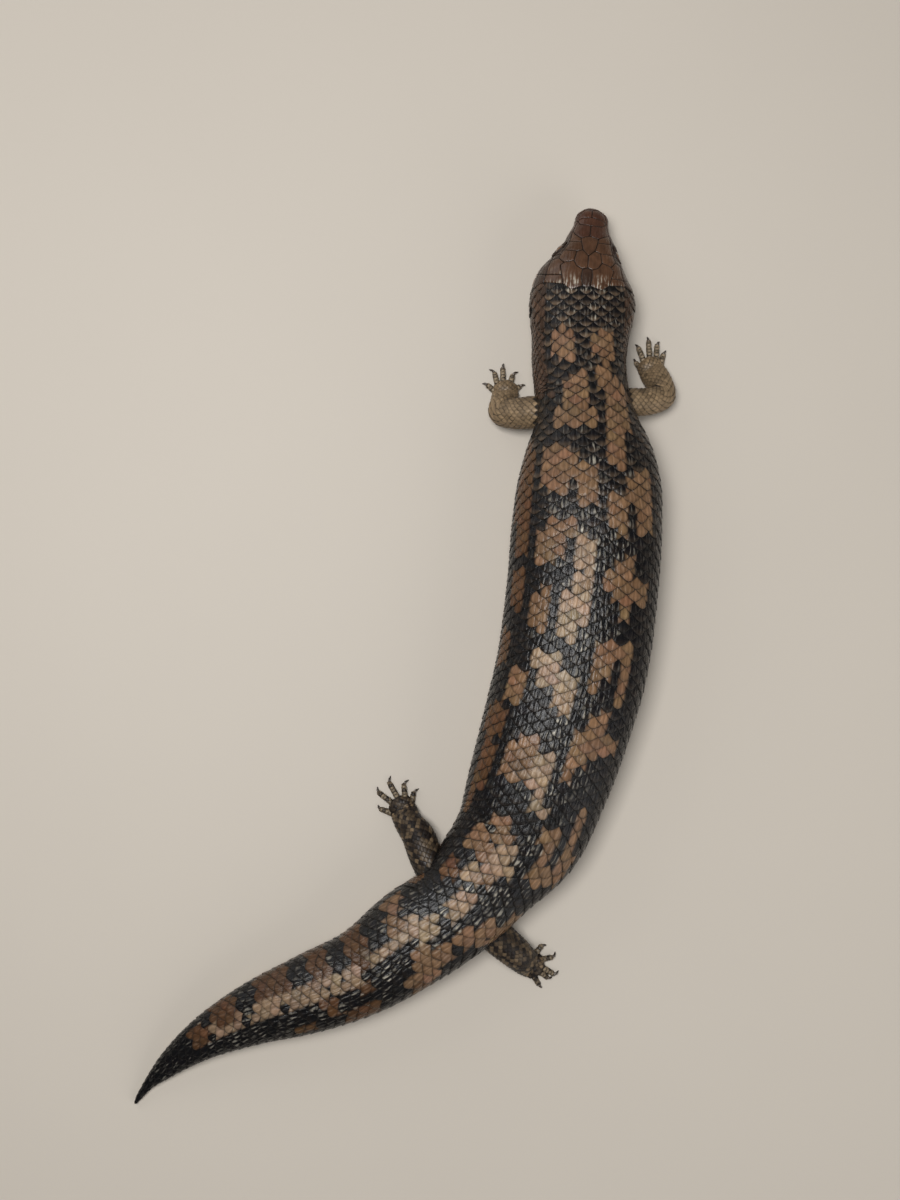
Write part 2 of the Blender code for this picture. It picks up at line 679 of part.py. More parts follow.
def build_eyes(parts: bpy.types.Collection) -> None:
    """Make the two eyeballs."""
    material = make_material("eye", EYE_BROWN, 0.08)
    for name, side in (("eye_right", 1), ("eye_left", -1)):
        eye = ellipsoid(name, eye_centre(side), (EYE_RADIUS,) * 3, Matrix(), 14, parts)
        eye.data.materials.append(material)
        eye.data.shade_smooth()


def build_body(parts: bpy.types.Collection) -> None:
    """Make the neck, the lengths of the trunk and the lengths of the tail."""
    brown = make_material("neck skin", SKIN_BROWN, 0.4)
    dark = make_material("body scales", SKIN_DARK, 0.3)
    lengths = (
        ("neck", HEAD_END, NECK_END, brown),
        ("torso_front", NECK_END, FRONT_END, dark),
        ("torso_middle", FRONT_END, MIDDLE_END, dark),
        ("torso_rear", MIDDLE_END, REAR_END, dark),
        ("hips", REAR_END, HIPS_END, dark),
        ("tail_base", HIPS_END, TAIL_BASE_END, dark),
        ("tail_middle", TAIL_BASE_END, TAIL_MIDDLE_END, dark),
        ("tail_tip", TAIL_MIDDLE_END, BODY.length, dark),
    )
    for name, start, end, material in lengths:
        last = end if end >= BODY.length else end - GAP / 2
        piece = body_length(name, start + GAP / 2, last, BODY_STEP, BODY_SIDES, parts)
        piece.data.materials.append(material)


def bearing(degrees: float) -> Vector:
    """Return the level unit vector at a bearing, clockwise from +Y."""
    return Vector((math.sin(math.radians(degrees)), math.cos(math.radians(degrees)), 0.0))


def toe_and_claw(leg: Leg, toe: Toe, parts: bpy.types.Collection) -> list[bpy.types.Object]:
    """Return a toe and its claw as two closed pieces that overlap."""
    palm = Vector(leg.palm)
    root = palm + bearing(toe.root_bearing) * (toe.root_distance * 0.55)
    root.z = 2.0
    knuckle = palm + bearing(toe.root_bearing) * toe.root_distance
    knuckle.z = 1.9
    along = bearing(toe.bearing)
    reach = (0.0, 0.34, 0.67, 0.9, 1.0)
    rise = (1.9, 1.75, 1.35, 1.15, 1.05)
    girth = (1.12, 1.08, 1.0, 0.92, 0.62)
    centres = [root] + [Vector((*(knuckle + along * (toe.length * share)).xy, height))
                        for share, height in zip(reach, rise)]
    radii = [(TOE_RADIUS * 1.15,) * 2] + [(TOE_RADIUS * size,) * 2 for size in girth]
    digit = tube("toe", centres, radii, TOE_SIDES, parts)
    tip = centres[-2]
    turn = bearing(toe.claw_bearing)
    bend = (along + turn).normalized()
    claw_path = [tip + Vector((0, 0, 0.15)), tip + bend * (toe.claw_length * 0.55) + Vector((0, 0, 0.35)),
                 tip + bend * (toe.claw_length * 0.55) + turn * (toe.claw_length * 0.35) + Vector((0, 0, -0.1)),
                 tip + bend * (toe.claw_length * 0.55) + turn * (toe.claw_length * 0.65) + Vector((0, 0, -0.65))]
    claw_radii = [(CLAW_RADIUS,) * 2, (CLAW_RADIUS * 0.85,) * 2, (CLAW_RADIUS * 0.6,) * 2, (CLAW_TIP_RADIUS,) * 2]
    return [digit, tube("claw", claw_path, claw_radii, CLAW_SIDES, parts)]


def smooth_joints(joints: tuple[Joint, ...], steps: int) -> tuple[list[Vector], list[tuple[float, float]]]:
    """Return points and half-thicknesses read evenly along a leg's joints."""
    spots = np.array([(j.x, j.y, j.z, j.across, j.up) for j in joints])
    runs = np.linalg.norm(np.diff(spots[:, :3], axis=0), axis=1)
    places = np.concatenate(([0.0], np.cumsum(runs)))
    at = np.linspace(0.0, places[-1], steps)
    rows = np.stack([smooth_table(places, spots[:, column], at) for column in range(5)], axis=1)
    return [Vector(row[:3]) for row in rows], [(row[3], row[4]) for row in rows]


def build_leg(leg: Leg, trunk: tuple[float, float], parts: bpy.types.Collection,
              skin: bpy.types.Material, foot_skin: bpy.types.Material) -> None:
    """Make a leg, which meets the trunk and its foot face to face.

    Args:
        leg: the leg's places and sizes.
        trunk: the stretch of the body that the leg grows from, behind the snout.
        parts: collection for the nodes.
        skin: the leg's material.
        foot_skin: the foot's material.
    """
    centres, radii = smooth_joints(leg.joints, 9)
    limb = tube(leg.name, centres, radii, LIMB_SIDES, parts)
    clearance = GAP * 1.35
    body = body_length("trunk clearance", trunk[0], trunk[1], BODY_STEP / 2, BODY_SIDES * 2, parts,
                       clearance, -10.0)
    combine(limb, [body], "DIFFERENCE")
    limb.data.materials.clear()
    limb.data.materials.append(skin)

    end, before = centres[-1], centres[-2]
    ahead = (end - before).normalized()
    wrist = [end + ahead * GAP, end + ahead * (GAP + 2.5), Vector(leg.palm) + Vector((0, 0, 0.6))]
    wrist_radii = [radii[-1], (radii[-1][0] * 0.98, radii[-1][1] * 0.9), (radii[-1][0] * 0.8, 2.8)]
    foot = tube(leg.foot_name, wrist, wrist_radii, LIMB_SIDES, parts)
    turn = Matrix.Rotation(-math.radians(leg.palm_bearing), 4, "Z")
    palm = ellipsoid("palm", Vector(leg.palm), (radii[-1][0] * 0.95, PALM_LENGTH, PALM_HEIGHT), turn,
                     LIMB_SIDES, parts, FLOOR)
    pieces = [palm]
    for toe in leg.toes:
        pieces.extend(toe_and_claw(leg, toe, parts))
    combine(foot, pieces, "UNION")
    trim_behind(foot, end + ahead * GAP, ahead)
    foot.data.materials.clear()
    foot.data.materials.append(foot_skin)


def trim_behind(item: bpy.types.Object, place: Vector, ahead: Vector) -> None:
    """Cut off what an object has behind a plane, and close the cut."""
    bm = bmesh.new()
    bm.from_mesh(item.data)
    geometry = list(bm.verts) + list(bm.edges) + list(bm.faces)
    bmesh.ops.bisect_plane(bm, geom=geometry, dist=WELD, plane_co=place * MM, plane_no=-ahead,
                           clear_outer=True)
    bmesh.ops.holes_fill(bm, edges=[e for e in bm.edges if e.is_boundary], sides=0)
    bmesh.ops.triangulate(bm, faces=bm.faces)
    bmesh.ops.recalc_face_normals(bm, faces=bm.faces)
    bm.to_mesh(item.data)
    bm.free()
    keep_largest(item)


def main() -> None:
    """Build the skink."""
    clear_scene()
    parts = make_collection("blue_tongued_skink")
    build_head(parts)
    build_eyes(parts)
    build_body(parts)
    leg_skin = make_material("leg skin", SKIN_BROWN, 0.45)
    foot_skin = make_material("foot skin", FOOT_TAN, 0.5)
    for leg in LEGS[:2]:
        build_leg(leg, (NECK_END - 8, FRONT_END - 6), parts, leg_skin, foot_skin)
    for leg in LEGS[2:]:
        build_leg(leg, (REAR_END - 8, HIPS_END + 8), parts, leg_skin, foot_skin)


main()
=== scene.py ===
"""Blotched blue-tongued skink, life size and still, with its skin, scales, head plates, eyes and claws.

Lengths are in millimetres up to the moment a mesh is made, which scales them once, by MM.  The body is one
surface that is set by the same table of cross-sections as the solids.  Every scale and plate is placed on
that surface, or on a leg's, by its distance along it and its distance round it from the upper middle line.
"""

from __future__ import annotations

import logging
import math
from collections.abc import Callable
from dataclasses import dataclass
from enum import Enum

import bmesh
import bpy
import numpy as np
from mathutils import Matrix, Vector

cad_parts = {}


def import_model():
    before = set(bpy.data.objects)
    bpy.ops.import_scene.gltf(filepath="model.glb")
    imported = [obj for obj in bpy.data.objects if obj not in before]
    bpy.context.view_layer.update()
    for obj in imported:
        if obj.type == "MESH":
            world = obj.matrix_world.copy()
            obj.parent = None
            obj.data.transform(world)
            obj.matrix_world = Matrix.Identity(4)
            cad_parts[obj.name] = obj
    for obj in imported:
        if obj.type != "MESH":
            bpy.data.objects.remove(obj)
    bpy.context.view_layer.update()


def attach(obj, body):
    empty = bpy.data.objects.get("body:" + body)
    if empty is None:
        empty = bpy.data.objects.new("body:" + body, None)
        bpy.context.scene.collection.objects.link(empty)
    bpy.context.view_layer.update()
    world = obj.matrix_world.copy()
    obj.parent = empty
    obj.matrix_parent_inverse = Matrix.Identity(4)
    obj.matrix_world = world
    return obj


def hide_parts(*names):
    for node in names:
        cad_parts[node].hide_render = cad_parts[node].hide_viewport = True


LOG = logging.getLogger("skink")
MM = 0.001
ROOT = "root"
SKIN_SEED, PLATE_SEED, SCALE_SEED, HUE_SEED, LEG_SEED, TOE_SEED, SHEEN_SEED = 5, 11, 21, 31, 41, 50, 61
Bend = Callable[[np.ndarray, np.ndarray], np.ndarray]
WELD = 2e-6                    # points closer than this, in metres, become one
SKIN_DEPTH = 0.6               # the skin lies this far inside the solids' surface
SIDES = (("left", -1), ("right", 1))

# name, x, y, left and right half-widths, top, bottom and the height of the widest place
SECTIONS = (
    ("snout tip", 4.2, 151.6, 6.3, 6.6, 17.0, 6.8, 11.5),
    ("nostril", 3.2, 142.9, 6.9, 7.9, 20.5, 6.2, 11.8),
    ("bridge", 2.6, 138.9, 8.7, 9.9, 23.0, 5.8, 12.0),
    ("front of eye", 2.2, 134.6, 10.8, 11.7, 25.4, 5.4, 12.2),
    ("eye", 1.7, 130.6, 13.6, 13.5, 27.4, 5.0, 12.5),
    ("behind eye", 1.3, 126.6, 16.8, 15.7, 28.8, 4.6, 12.8),
    ("temple", 0.8, 122.0, 19.5, 18.2, 30.0, 4.2, 13.2),
    ("jowl", 0.4, 114.5, 21.5, 20.9, 31.0, 3.6, 13.6),
    ("ear", 0.3, 108.5, 21.5, 20.9, 31.5, 3.2, 14.0),
    ("nape", 0.2, 101.0, 20.6, 19.2, 32.2, 2.6, 14.5),
    ("neck", 0.8, 90.5, 21.2, 17.2, 33.5, 1.6, 16.0),
    ("neck root", 2.7, 77.9, 22.0, 15.6, 35.7, 0.2, 17.5),
    ("shoulder", 2.4, 67.5, 20.8, 19.4, 38.0, -0.8, 18.5),
    ("chest", 2.2, 55.0, 24.4, 25.2, 40.8, -1.5, 19.5),
    ("front ribs", 2.1, 41.7, 28.0, 28.6, 42.5, -1.5, 20.0),
    ("ribs", 1.9, 22.0, 30.4, 29.4, 43.3, -1.5, 20.0),
    ("middle", -0.1, -0.5, 30.2, 30.0, 43.5, -1.5, 20.0),
    ("waist", -5.3, -36.2, 30.0, 30.0, 42.5, -1.5, 19.5),
    ("flank", -9.9, -53.2, 29.4, 29.5, 41.5, -1.5, 19.0),
    ("loin", -17.5, -78.2, 28.1, 28.1, 39.0, -1.5, 18.0),
    ("rear loin", -25.6, -99.5, 25.8, 25.8, 35.8, -1.3, 17.0),
    ("hip", -37.4, -115.0, 22.3, 22.0, 32.8, -1.0, 16.0),
    ("vent", -51.0, -129.8, 20.1, 20.1, 31.2, -0.8, 15.3),
    ("tail root", -66.8, -140.8, 20.0, 20.0, 29.8, -0.8, 14.8),
    ("tail front", -88.0, -155.6, 17.4, 17.4, 26.6, -0.8, 13.3),
    ("tail middle", -108.6, -164.4, 15.9, 15.9, 23.4, -0.7, 12.0),
    ("tail rear", -133.7, -174.1, 12.3, 12.3, 18.5, -0.6, 9.5),
    ("tail taper", -153.9, -184.8, 8.4, 8.4, 13.2, -0.5, 6.6),
    ("tail narrow", -170.1, -197.7, 4.4, 4.4, 7.4, -0.3, 3.6),
    ("tail point", -177.4, -205.4, 2.0, 2.0, 3.9, -0.1, 1.9),
    ("tail tip", -182.2, -212.5, 1.1, 1.1, 2.4, 0.0, 1.2),
)


def smooth_table(knots: np.ndarray, values: np.ndarray, at: np.ndarray) -> np.ndarray:
    """Read a table along a smooth curve through its values.

    Args:
        knots: increasing places of the table's rows.
        values: the value at each place.
        at: places to read.

    Returns:
        The curve's value at each place asked for.
    """
    slopes = np.gradient(values, knots)
    index = np.clip(np.searchsorted(knots, at) - 1, 0, len(knots) - 2)
    width = knots[index + 1] - knots[index]
    t = (at - knots[index]) / width
    rise = values[index + 1] - values[index]
    inside = values[index] + t * t * (3 - 2 * t) * rise
    lead = (t ** 3 - 2 * t ** 2 + t) * width * slopes[index]
    trail = (t ** 3 - t ** 2) * width * slopes[index + 1]
    return inside + lead + trail


def unit(vectors: np.ndarray) -> np.ndarray:
    """Return vectors brought to length one."""
    return vectors / np.maximum(np.linalg.norm(vectors, axis=-1, keepdims=True), 1e-9)


class Chart:
    """A closed surface unrolled by length along it and by distance round it from its upper middle line."""

    COLUMNS = 241

    def __init__(self, along: np.ndarray, rings: np.ndarray) -> None:
        """Unroll a surface.

        Args:
            along: each ring's place along the surface.
            rings: points of every ring, from the lower middle line round by the left, the top and the right.
        """
        self.along = along
        middle = rings.shape[1] // 2
        steps = np.linalg.norm(np.diff(rings, axis=1), axis=2)
        self.arc = np.concatenate((np.zeros((len(along), 1)), np.cumsum(steps, axis=1)), axis=1)
        self.arc -= self.arc[:, middle:middle + 1]
        self.left = np.maximum(-self.arc[:, 0], 1e-3)
        self.right = np.maximum(self.arc[:, -1], 1e-3)
        shares = np.linspace(-1.0, 1.0, self.COLUMNS)
        self.points = np.empty((len(along), self.COLUMNS, 3))
        for row in range(len(along)):
            target = np.where(shares < 0, shares * self.left[row], shares * self.right[row])
            for axis in range(3):
                self.points[row, :, axis] = np.interp(target, self.arc[row], rings[row, :, axis])
        self.normals = self.find_normals()
        top = self.points[:, self.COLUMNS // 2]
        run = np.linalg.norm(np.diff(top, axis=0), axis=1)
        self.run = np.concatenate(([0.0], np.cumsum(run)))

    def find_normals(self) -> np.ndarray:
        """Return the outward unit vector at every point of the chart."""
        along = np.gradient(self.points, axis=0)
        padded = np.concatenate((self.points[:, -2:-1], self.points, self.points[:, 1:2]), axis=1)
        around = (padded[:, 2:] - padded[:, :-2]) / 2
        normals = unit(np.cross(along, around))
        centres = self.points.mean(axis=1)
        for end, inner in ((0, 4), (-1, -5)):
            if np.linalg.norm(around[end]) < 1e-6 * self.COLUMNS:
                normals[end] = unit(centres[end] - centres[inner])
        return normals

    def girths(self, s: np.ndarray) -> tuple[np.ndarray, np.ndarray]:
        """Return the distance from the top line to the lower middle line, on the left and the right."""
        return np.interp(s, self.along, self.left), np.interp(s, self.along, self.right)

    def spots(self, s: np.ndarray, a: np.ndarray) -> tuple[np.ndarray, np.ndarray]:
        """Return points of the surface and its outward unit vectors there.

        Args:
            s: distances along the surface.
            a: distances round it, positive to the right.
        """
        left, right = self.girths(s)
        a = np.where(a > right, a - left - right, a)
        a = np.where(a < -left, a + left + right, a)
        share = np.clip(np.where(a < 0, a / left, a / right), -1.0, 1.0)
        row = np.interp(s, self.along, np.arange(len(self.along)))
        column = (share + 1) / 2 * (self.COLUMNS - 1)
        low_row = np.clip(row.astype(int), 0, len(self.along) - 2)
        low_column = np.clip(column.astype(int), 0, self.COLUMNS - 2)
        down, over = (row - low_row)[..., None], (column - low_column)[..., None]
        found = []
        for table in (self.points, self.normals):
            near = table[low_row, low_column] * (1 - over) + table[low_row, low_column + 1] * over
            far = table[low_row + 1, low_column] * (1 - over) + table[low_row + 1, low_column + 1] * over
            found.append(near * (1 - down) + far * down)
        return found[0], unit(found[1])

    def unwrap(self, s: np.ndarray, a: np.ndarray, reach: tuple[float, float]) -> np.ndarray:
        """Return places on a flat unwrap of the surface, from 0 to 1, for a stretch of it."""
        run = np.interp(s, self.along, self.run)
        start, end = np.interp(reach, self.along, self.run)
        widest = max(self.left.max(), self.right.max())
        across = 0.5 + np.clip(a / widest, -1.0, 1.0) * 0.47
        return np.stack((across, 0.02 + 0.96 * np.clip((run - start) / (end - start), 0, 1)), axis=-1)


class BodyChart(Chart):
    """The skink's body, from the snout's tip to the tail's."""

    TOP_POWER = 2.3
    BELLY_POWER = 2.9
    HEAD_POWER = 2.6
    ROOF_END = 24.0
    HEAD_END = 47.0
    SNOUT_ROUNDING = 5.6
    TAIL_ROUNDING = 5.0
    TIP_BLUNTNESS = 0.7
    FRONT_REACH = 14.0
    ANGLES = 481

    def __init__(self) -> None:
        """Lay the sections out along the animal and unroll the surface."""
        plan = np.array([row[1:3] for row in SECTIONS])
        steps = np.linalg.norm(np.diff(plan, axis=0), axis=1)
        places = np.concatenate(([0.0], np.cumsum(steps)))
        self.length = float(places[-1])
        self.fine = np.arange(0.0, self.length + 0.1, 0.1).clip(max=self.length)
        names = ("x", "y", "left", "right", "top", "bottom", "widest")
        self.table = {name: smooth_table(places, np.array([row[index] for row in SECTIONS]), self.fine)
                      for index, name in enumerate(names, start=1)}
        ahead, behind = (self.fine - 0.5).clip(min=0), (self.fine + 0.5).clip(max=self.length)
        back = unit(np.stack([np.interp(behind, self.fine, self.table[name])
                              - np.interp(ahead, self.fine, self.table[name])
                              for name in ("x", "y")], axis=-1))
        self.table["right_x"], self.table["right_y"] = -back[:, 1], back[:, 0]
        rows = self.ring_places(36, np.arange(6.0, self.length - 5.3, 0.5))
        angles = np.linspace(-math.pi, math.pi, self.ANGLES)
        super().__init__(rows, self.surface(rows[:, None], angles[None, :]))

    def ring_places(self, count: int, *middle: np.ndarray) -> np.ndarray:
        """Return places of rings: a count close together at each tip, and those given between them."""
        bend = 1 - np.cos(np.linspace(0.0, math.pi / 2, count))
        tail = self.length - self.TAIL_ROUNDING * bend[::-1]
        return np.concatenate((self.SNOUT_ROUNDING * bend, *middle, tail))

    def read(self, name: str, s: np.ndarray) -> np.ndarray:
        """Return one size of the section at distances behind the snout."""
        return np.interp(s, self.fine, self.table[name])

    def rounding(self, s: np.ndarray) -> np.ndarray:
        """Return how full the section's width is: 1 along the body and 0 at the two tips."""
        front = np.clip(s / self.SNOUT_ROUNDING, 0.0, 1.0)
        back = np.clip((self.length - s) / self.TAIL_ROUNDING, 0.0, 1.0)
        return np.sqrt((2 - front) * front) * np.sqrt((2 - back) * back)

    def power(self, s: np.ndarray) -> np.ndarray:
        """Return the roundness of the upper half."""
        blend = np.clip((s - self.ROOF_END) / (self.HEAD_END - self.ROOF_END), 0.0, 1.0)
        return self.HEAD_POWER + (self.TOP_POWER - self.HEAD_POWER) * blend

    def reach(self, s: np.ndarray, upper: np.ndarray) -> np.ndarray:
        """Return the height of the upper or the lower half of the section."""
        middle = self.read("widest", s)
        full = self.rounding(s) ** self.TIP_BLUNTNESS
        return np.where(upper, self.read("top", s) - middle, middle - self.read("bottom", s)) * full

    def half(self, s: np.ndarray, rightward: np.ndarray) -> np.ndarray:
        """Return the half-width toward one side."""
        return np.where(rightward, self.read("right", s), self.read("left", s)) * self.rounding(s)

    def surface(self, s: np.ndarray, angle: np.ndarray) -> np.ndarray:
        """Return the surface's points at s and at an angle round the section, 0 on top."""
        sine, cosine = np.sin(angle), np.cos(angle)
        power = np.where(cosine > 0, self.power(s), self.BELLY_POWER)
        across = np.sign(sine) * np.abs(sine) ** (2 / power) * self.half(s, sine > 0)
        rise = np.sign(cosine) * np.abs(cosine) ** (2 / power) * self.reach(s, cosine > 0)
        height = np.maximum(self.read("widest", s) + rise, 0.0)
        x = self.read("x", s) + self.read("right_x", s) * across
        y = self.read("y", s) + self.read("right_y", s) * across
        return np.stack((x, y, height), axis=-1)

    def round_from(self, s: np.ndarray, angle: np.ndarray) -> np.ndarray:
        """Return the distance round the section at an angle."""
        row = np.interp(s, self.along, np.arange(len(self.along)))
        low = np.clip(row.astype(int), 0, len(self.along) - 2)
        column = (angle + math.pi) / (2 * math.pi) * (self.ANGLES - 1)
        left = np.clip(column.astype(int), 0, self.ANGLES - 2)
        over, down = column - left, row - low
        near = self.arc[low, left] * (1 - over) + self.arc[low, left + 1] * over
        far = self.arc[low + 1, left] * (1 - over) + self.arc[low + 1, left + 1] * over
        return near * (1 - down) + far * down

    def from_roof(self, s: np.ndarray, across: np.ndarray, under: bool = False) -> np.ndarray:
        """Return the distance round for places seen from above, or from below, a distance across."""
        share = np.clip(np.abs(across) / np.maximum(self.half(s, across > 0), 1e-6), 0.0, 1.0)
        power = self.BELLY_POWER if under else self.power(s)
        angle = np.arcsin(share ** (power / 2))
        return self.round_from(s, np.copysign(math.pi - angle if under else angle, across))

    def from_side(self, s: np.ndarray, height: np.ndarray, side: int) -> np.ndarray:
        """Return the distance round for places seen from one side, at a height."""
        rise = height - self.read("widest", s)
        upper = rise > 0
        share = np.clip(np.abs(rise) / np.maximum(self.reach(s, upper), 1e-6), 0.0, 1.0)
        angle = np.arccos(share ** (np.where(upper, self.power(s), self.BELLY_POWER) / 2))
        return self.round_from(s, side * np.where(upper, angle, math.pi - angle))

    def oval(self, s: np.ndarray, across: np.ndarray, height: np.ndarray) -> tuple[np.ndarray, np.ndarray]:
        """Return how far out places of a section lie, 1 on the surface, and their distances round it."""
        rise = height - self.read("widest", s)
        power = np.where(rise > 0, self.power(s), self.BELLY_POWER)
        wide = np.abs(across) / np.maximum(self.half(s, across > 0), 1e-6)
        high = np.abs(rise) / np.maximum(self.reach(s, rise > 0), 1e-6)
        turn = np.arctan2(wide ** (power / 2), high ** (power / 2))
        angle = np.copysign(np.where(rise > 0, turn, math.pi - turn), across)
        return (wide ** power + high ** power) ** (1 / power), self.round_from(s, angle)

    def from_front(self, across: np.ndarray, height: np.ndarray) -> tuple[np.ndarray, np.ndarray]:
        """Return distances behind the snout and round it for places seen from the front."""
        near, far = np.full(across.shape, 1e-4), np.full(across.shape, self.FRONT_REACH)
        for _ in range(40):
            s = (near + far) / 2
            out, a = self.oval(s, across, height)
            near, far = np.where(out > 1, s, near), np.where(out > 1, far, s)
        return s, a

    def locate(self, points: np.ndarray) -> tuple[np.ndarray, np.ndarray, np.ndarray]:
        """Find where points in space lie on the body.

        Returns:
            Distances behind the snout, distances round, and how far out each lies: 1 on the surface.
        """
        coarse = np.linspace(0.0, self.length, 600)
        centres = np.stack((self.read("x", coarse), self.read("y", coarse)), axis=-1)
        gaps = ((points[:, None, :2] - centres[None]) ** 2).sum(axis=2)
        s = coarse[gaps.argmin(axis=1)]
        offset = points[:, :2] - np.stack((self.read("x", s), self.read("y", s)), axis=-1)
        right = np.stack((self.read("right_x", s), self.read("right_y", s)), axis=-1)
        along = (offset[:, 0] * right[:, 1] - offset[:, 1] * right[:, 0])
        s = np.clip(s + along, 0.0, self.length)
        out, a = self.oval(s, (offset * right).sum(axis=1), points[:, 2])
        return s, a, out


class TubeChart(Chart):
    """A leg or a toe: a tube of changing oval section along a path, cut flat at the floor."""

    ANGLES = 97

    def __init__(self, centres: np.ndarray, halves: np.ndarray, step: float = 0.4) -> None:
        """Read the tube evenly along its path and unroll it.

        Args:
            centres: the path's points.
            halves: the half-thickness at each point, across and up.
            step: distance between the rings that are read.
        """
        runs = np.linalg.norm(np.diff(centres, axis=0), axis=1)
        places = np.concatenate(([0.0], np.cumsum(runs)))
        self.length = float(places[-1])
        along = np.linspace(0.0, self.length, max(int(self.length / step), 8))
        path = np.stack([smooth_table(places, centres[:, axis], along) for axis in range(3)], axis=1)
        sizes = np.stack([smooth_table(places, halves[:, axis], along) for axis in range(2)], axis=1)
        self.path, self.sizes = path, sizes
        ahead = unit(np.gradient(path, axis=0))
        across = unit(np.cross(np.array([0.0, 0.0, 1.0]), ahead))
        up = unit(np.cross(ahead, across))
        angle = np.linspace(-math.pi, math.pi, self.ANGLES)[None, :, None]
        rings = (path[:, None] + across[:, None] * np.sin(angle) * sizes[:, None, :1]
                 + up[:, None] * np.cos(angle) * sizes[:, None, 1:])
        rings[..., 2] = np.maximum(rings[..., 2], 0.0)
        super().__init__(along, rings)

    def depth(self, points: np.ndarray) -> np.ndarray:
        """Return how far points lie from the tube's middle, as a share of its thickness."""
        gaps = np.linalg.norm(points[:, None] - self.path[None], axis=2)
        return (gaps / self.sizes.mean(axis=1)[None]).min(axis=1)


@dataclass(frozen=True)
class Joint:
    """A place along a leg: its centre and the half-thickness of the flesh, across and up."""

    x: float
    y: float
    z: float
    across: float
    up: float


@dataclass(frozen=True)
class Toe:
    """A toe: where it leaves the palm, how it runs and how its claw turns, by bearings from +Y."""

    root_bearing: float
    root_distance: float
    bearing: float
    length: float
    claw_bearing: float
    claw_length: float


@dataclass(frozen=True)
class Limb:
    """A leg from its root in the body to its palm, and the foot's five toes."""

    name: str
    joints: tuple[Joint, ...]
    palm: tuple[float, float, float]
    palm_bearing: float
    toes: tuple[Toe, ...]
    hind: bool


LIMBS = (
    Limb("foreleg_left",
         (Joint(-8.0, 69.3, 16.0, 7.2, 7.2), Joint(-19.0, 69.6, 13.5, 6.6, 6.6),
          Joint(-27.0, 69.4, 10.0, 6.2, 6.0), Joint(-31.6, 70.6, 7.4, 5.8, 5.4),
          Joint(-31.0, 74.2, 5.2, 5.6, 4.6)),
         (-30.3, 78.6, 1.6), -4.0,
         (Toe(-84, 4.0, -49, 5.0, -78, 2.4), Toe(-58, 3.4, -14, 7.2, -62, 3.2),
          Toe(-21, 2.4, -2, 8.6, 12, 2.6), Toe(33, 2.9, 15, 5.6, 72, 3.2),
          Toe(84, 2.8, 50, 4.4, 84, 2.6)), False),
    Limb("foreleg_right",
         (Joint(10.0, 72.8, 16.0, 6.4, 6.6), Joint(19.0, 73.6, 13.5, 5.6, 6.2),
          Joint(28.0, 74.4, 10.5, 5.5, 5.8), Joint(33.0, 77.0, 7.6, 5.4, 5.4),
          Joint(32.0, 82.2, 5.2, 5.6, 4.6)),
         (29.2, 88.2, 1.6), -24.0,
         (Toe(-92, 3.8, -38, 4.4, -16, 1.9), Toe(-45, 3.9, -20, 7.2, -48, 2.4),
          Toe(-8, 3.7, -3, 8.6, -18, 2.5), Toe(31, 4.0, 4, 7.3, 40, 2.2),
          Toe(76, 3.8, 15, 6.2, 42, 2.2)), False),
    Limb("hindleg_left",
         (Joint(-50.0, -128.0, 16.0, 7.6, 8.0), Joint(-58.2, -117.4, 14.5, 7.0, 7.6),
          Joint(-63.0, -108.4, 12.0, 6.8, 7.2), Joint(-66.0, -101.4, 9.0, 6.6, 6.4),
          Joint(-69.8, -96.6, 6.0, 5.7, 5.0)),
         (-72.4, -91.4, 1.6), -28.0,
         (Toe(78, 3.4, 12, 6.4, 62, 3.0), Toe(31, 2.4, -6, 8.4, 60, 3.4),
          Toe(-20, 2.8, -30, 9.8, 20, 3.4), Toe(-66, 3.0, -53, 9.4, -8, 3.0),
          Toe(-114, 4.6, -71, 5.6, -26, 2.3)), True),
    Limb("hindleg_right",
         (Joint(-45.0, -133.0, 16.0, 8.2, 8.0), Joint(-37.0, -139.2, 14.0, 7.2, 7.2),
          Joint(-30.4, -145.0, 11.5, 6.8, 6.8), Joint(-25.6, -149.6, 8.5, 6.4, 6.0),
          Joint(-23.0, -152.6, 5.6, 5.8, 4.8)),
         (-19.9, -155.0, 1.6), 112.0,
         (Toe(172, 3.8, 150, 5.8, 134, 2.4), Toe(133, 2.8, 128, 6.6, 66, 2.4),
          Toe(95, 3.0, 122, 8.0, 40, 3.0), Toe(57, 3.2, 81, 6.6, 18, 3.0),
          Toe(16, 3.8, 42, 5.6, 96, 2.2)), True),
)
TOE_RADIUS = 1.15


def bearing(degrees: float) -> np.ndarray:
    """Return the level unit vector at a bearing, clockwise from +Y."""
    return np.array([math.sin(math.radians(degrees)), math.cos(math.radians(degrees)), 0.0])


def leg_chart(limb: Limb) -> TubeChart:
    """Return the surface of a leg from its root to the front of its palm."""
    spots = [(j.x, j.y, j.z) for j in limb.joints]
    halves = [(j.across, j.up) for j in limb.joints]
    palm, ahead = np.array(limb.palm), bearing(limb.palm_bearing)
    last = halves[-1][0]
    for reach, rise, wide, high in ((0.0, 0.4, 0.95, 3.2), (3.4, 0.2, 0.8, 2.5), (5.0, -0.2, 0.4, 1.3)):
        spots.append(tuple(palm + ahead * reach + np.array([0.0, 0.0, rise])))
        halves.append((last * wide, high))
    return TubeChart(np.array(spots), np.array(halves))


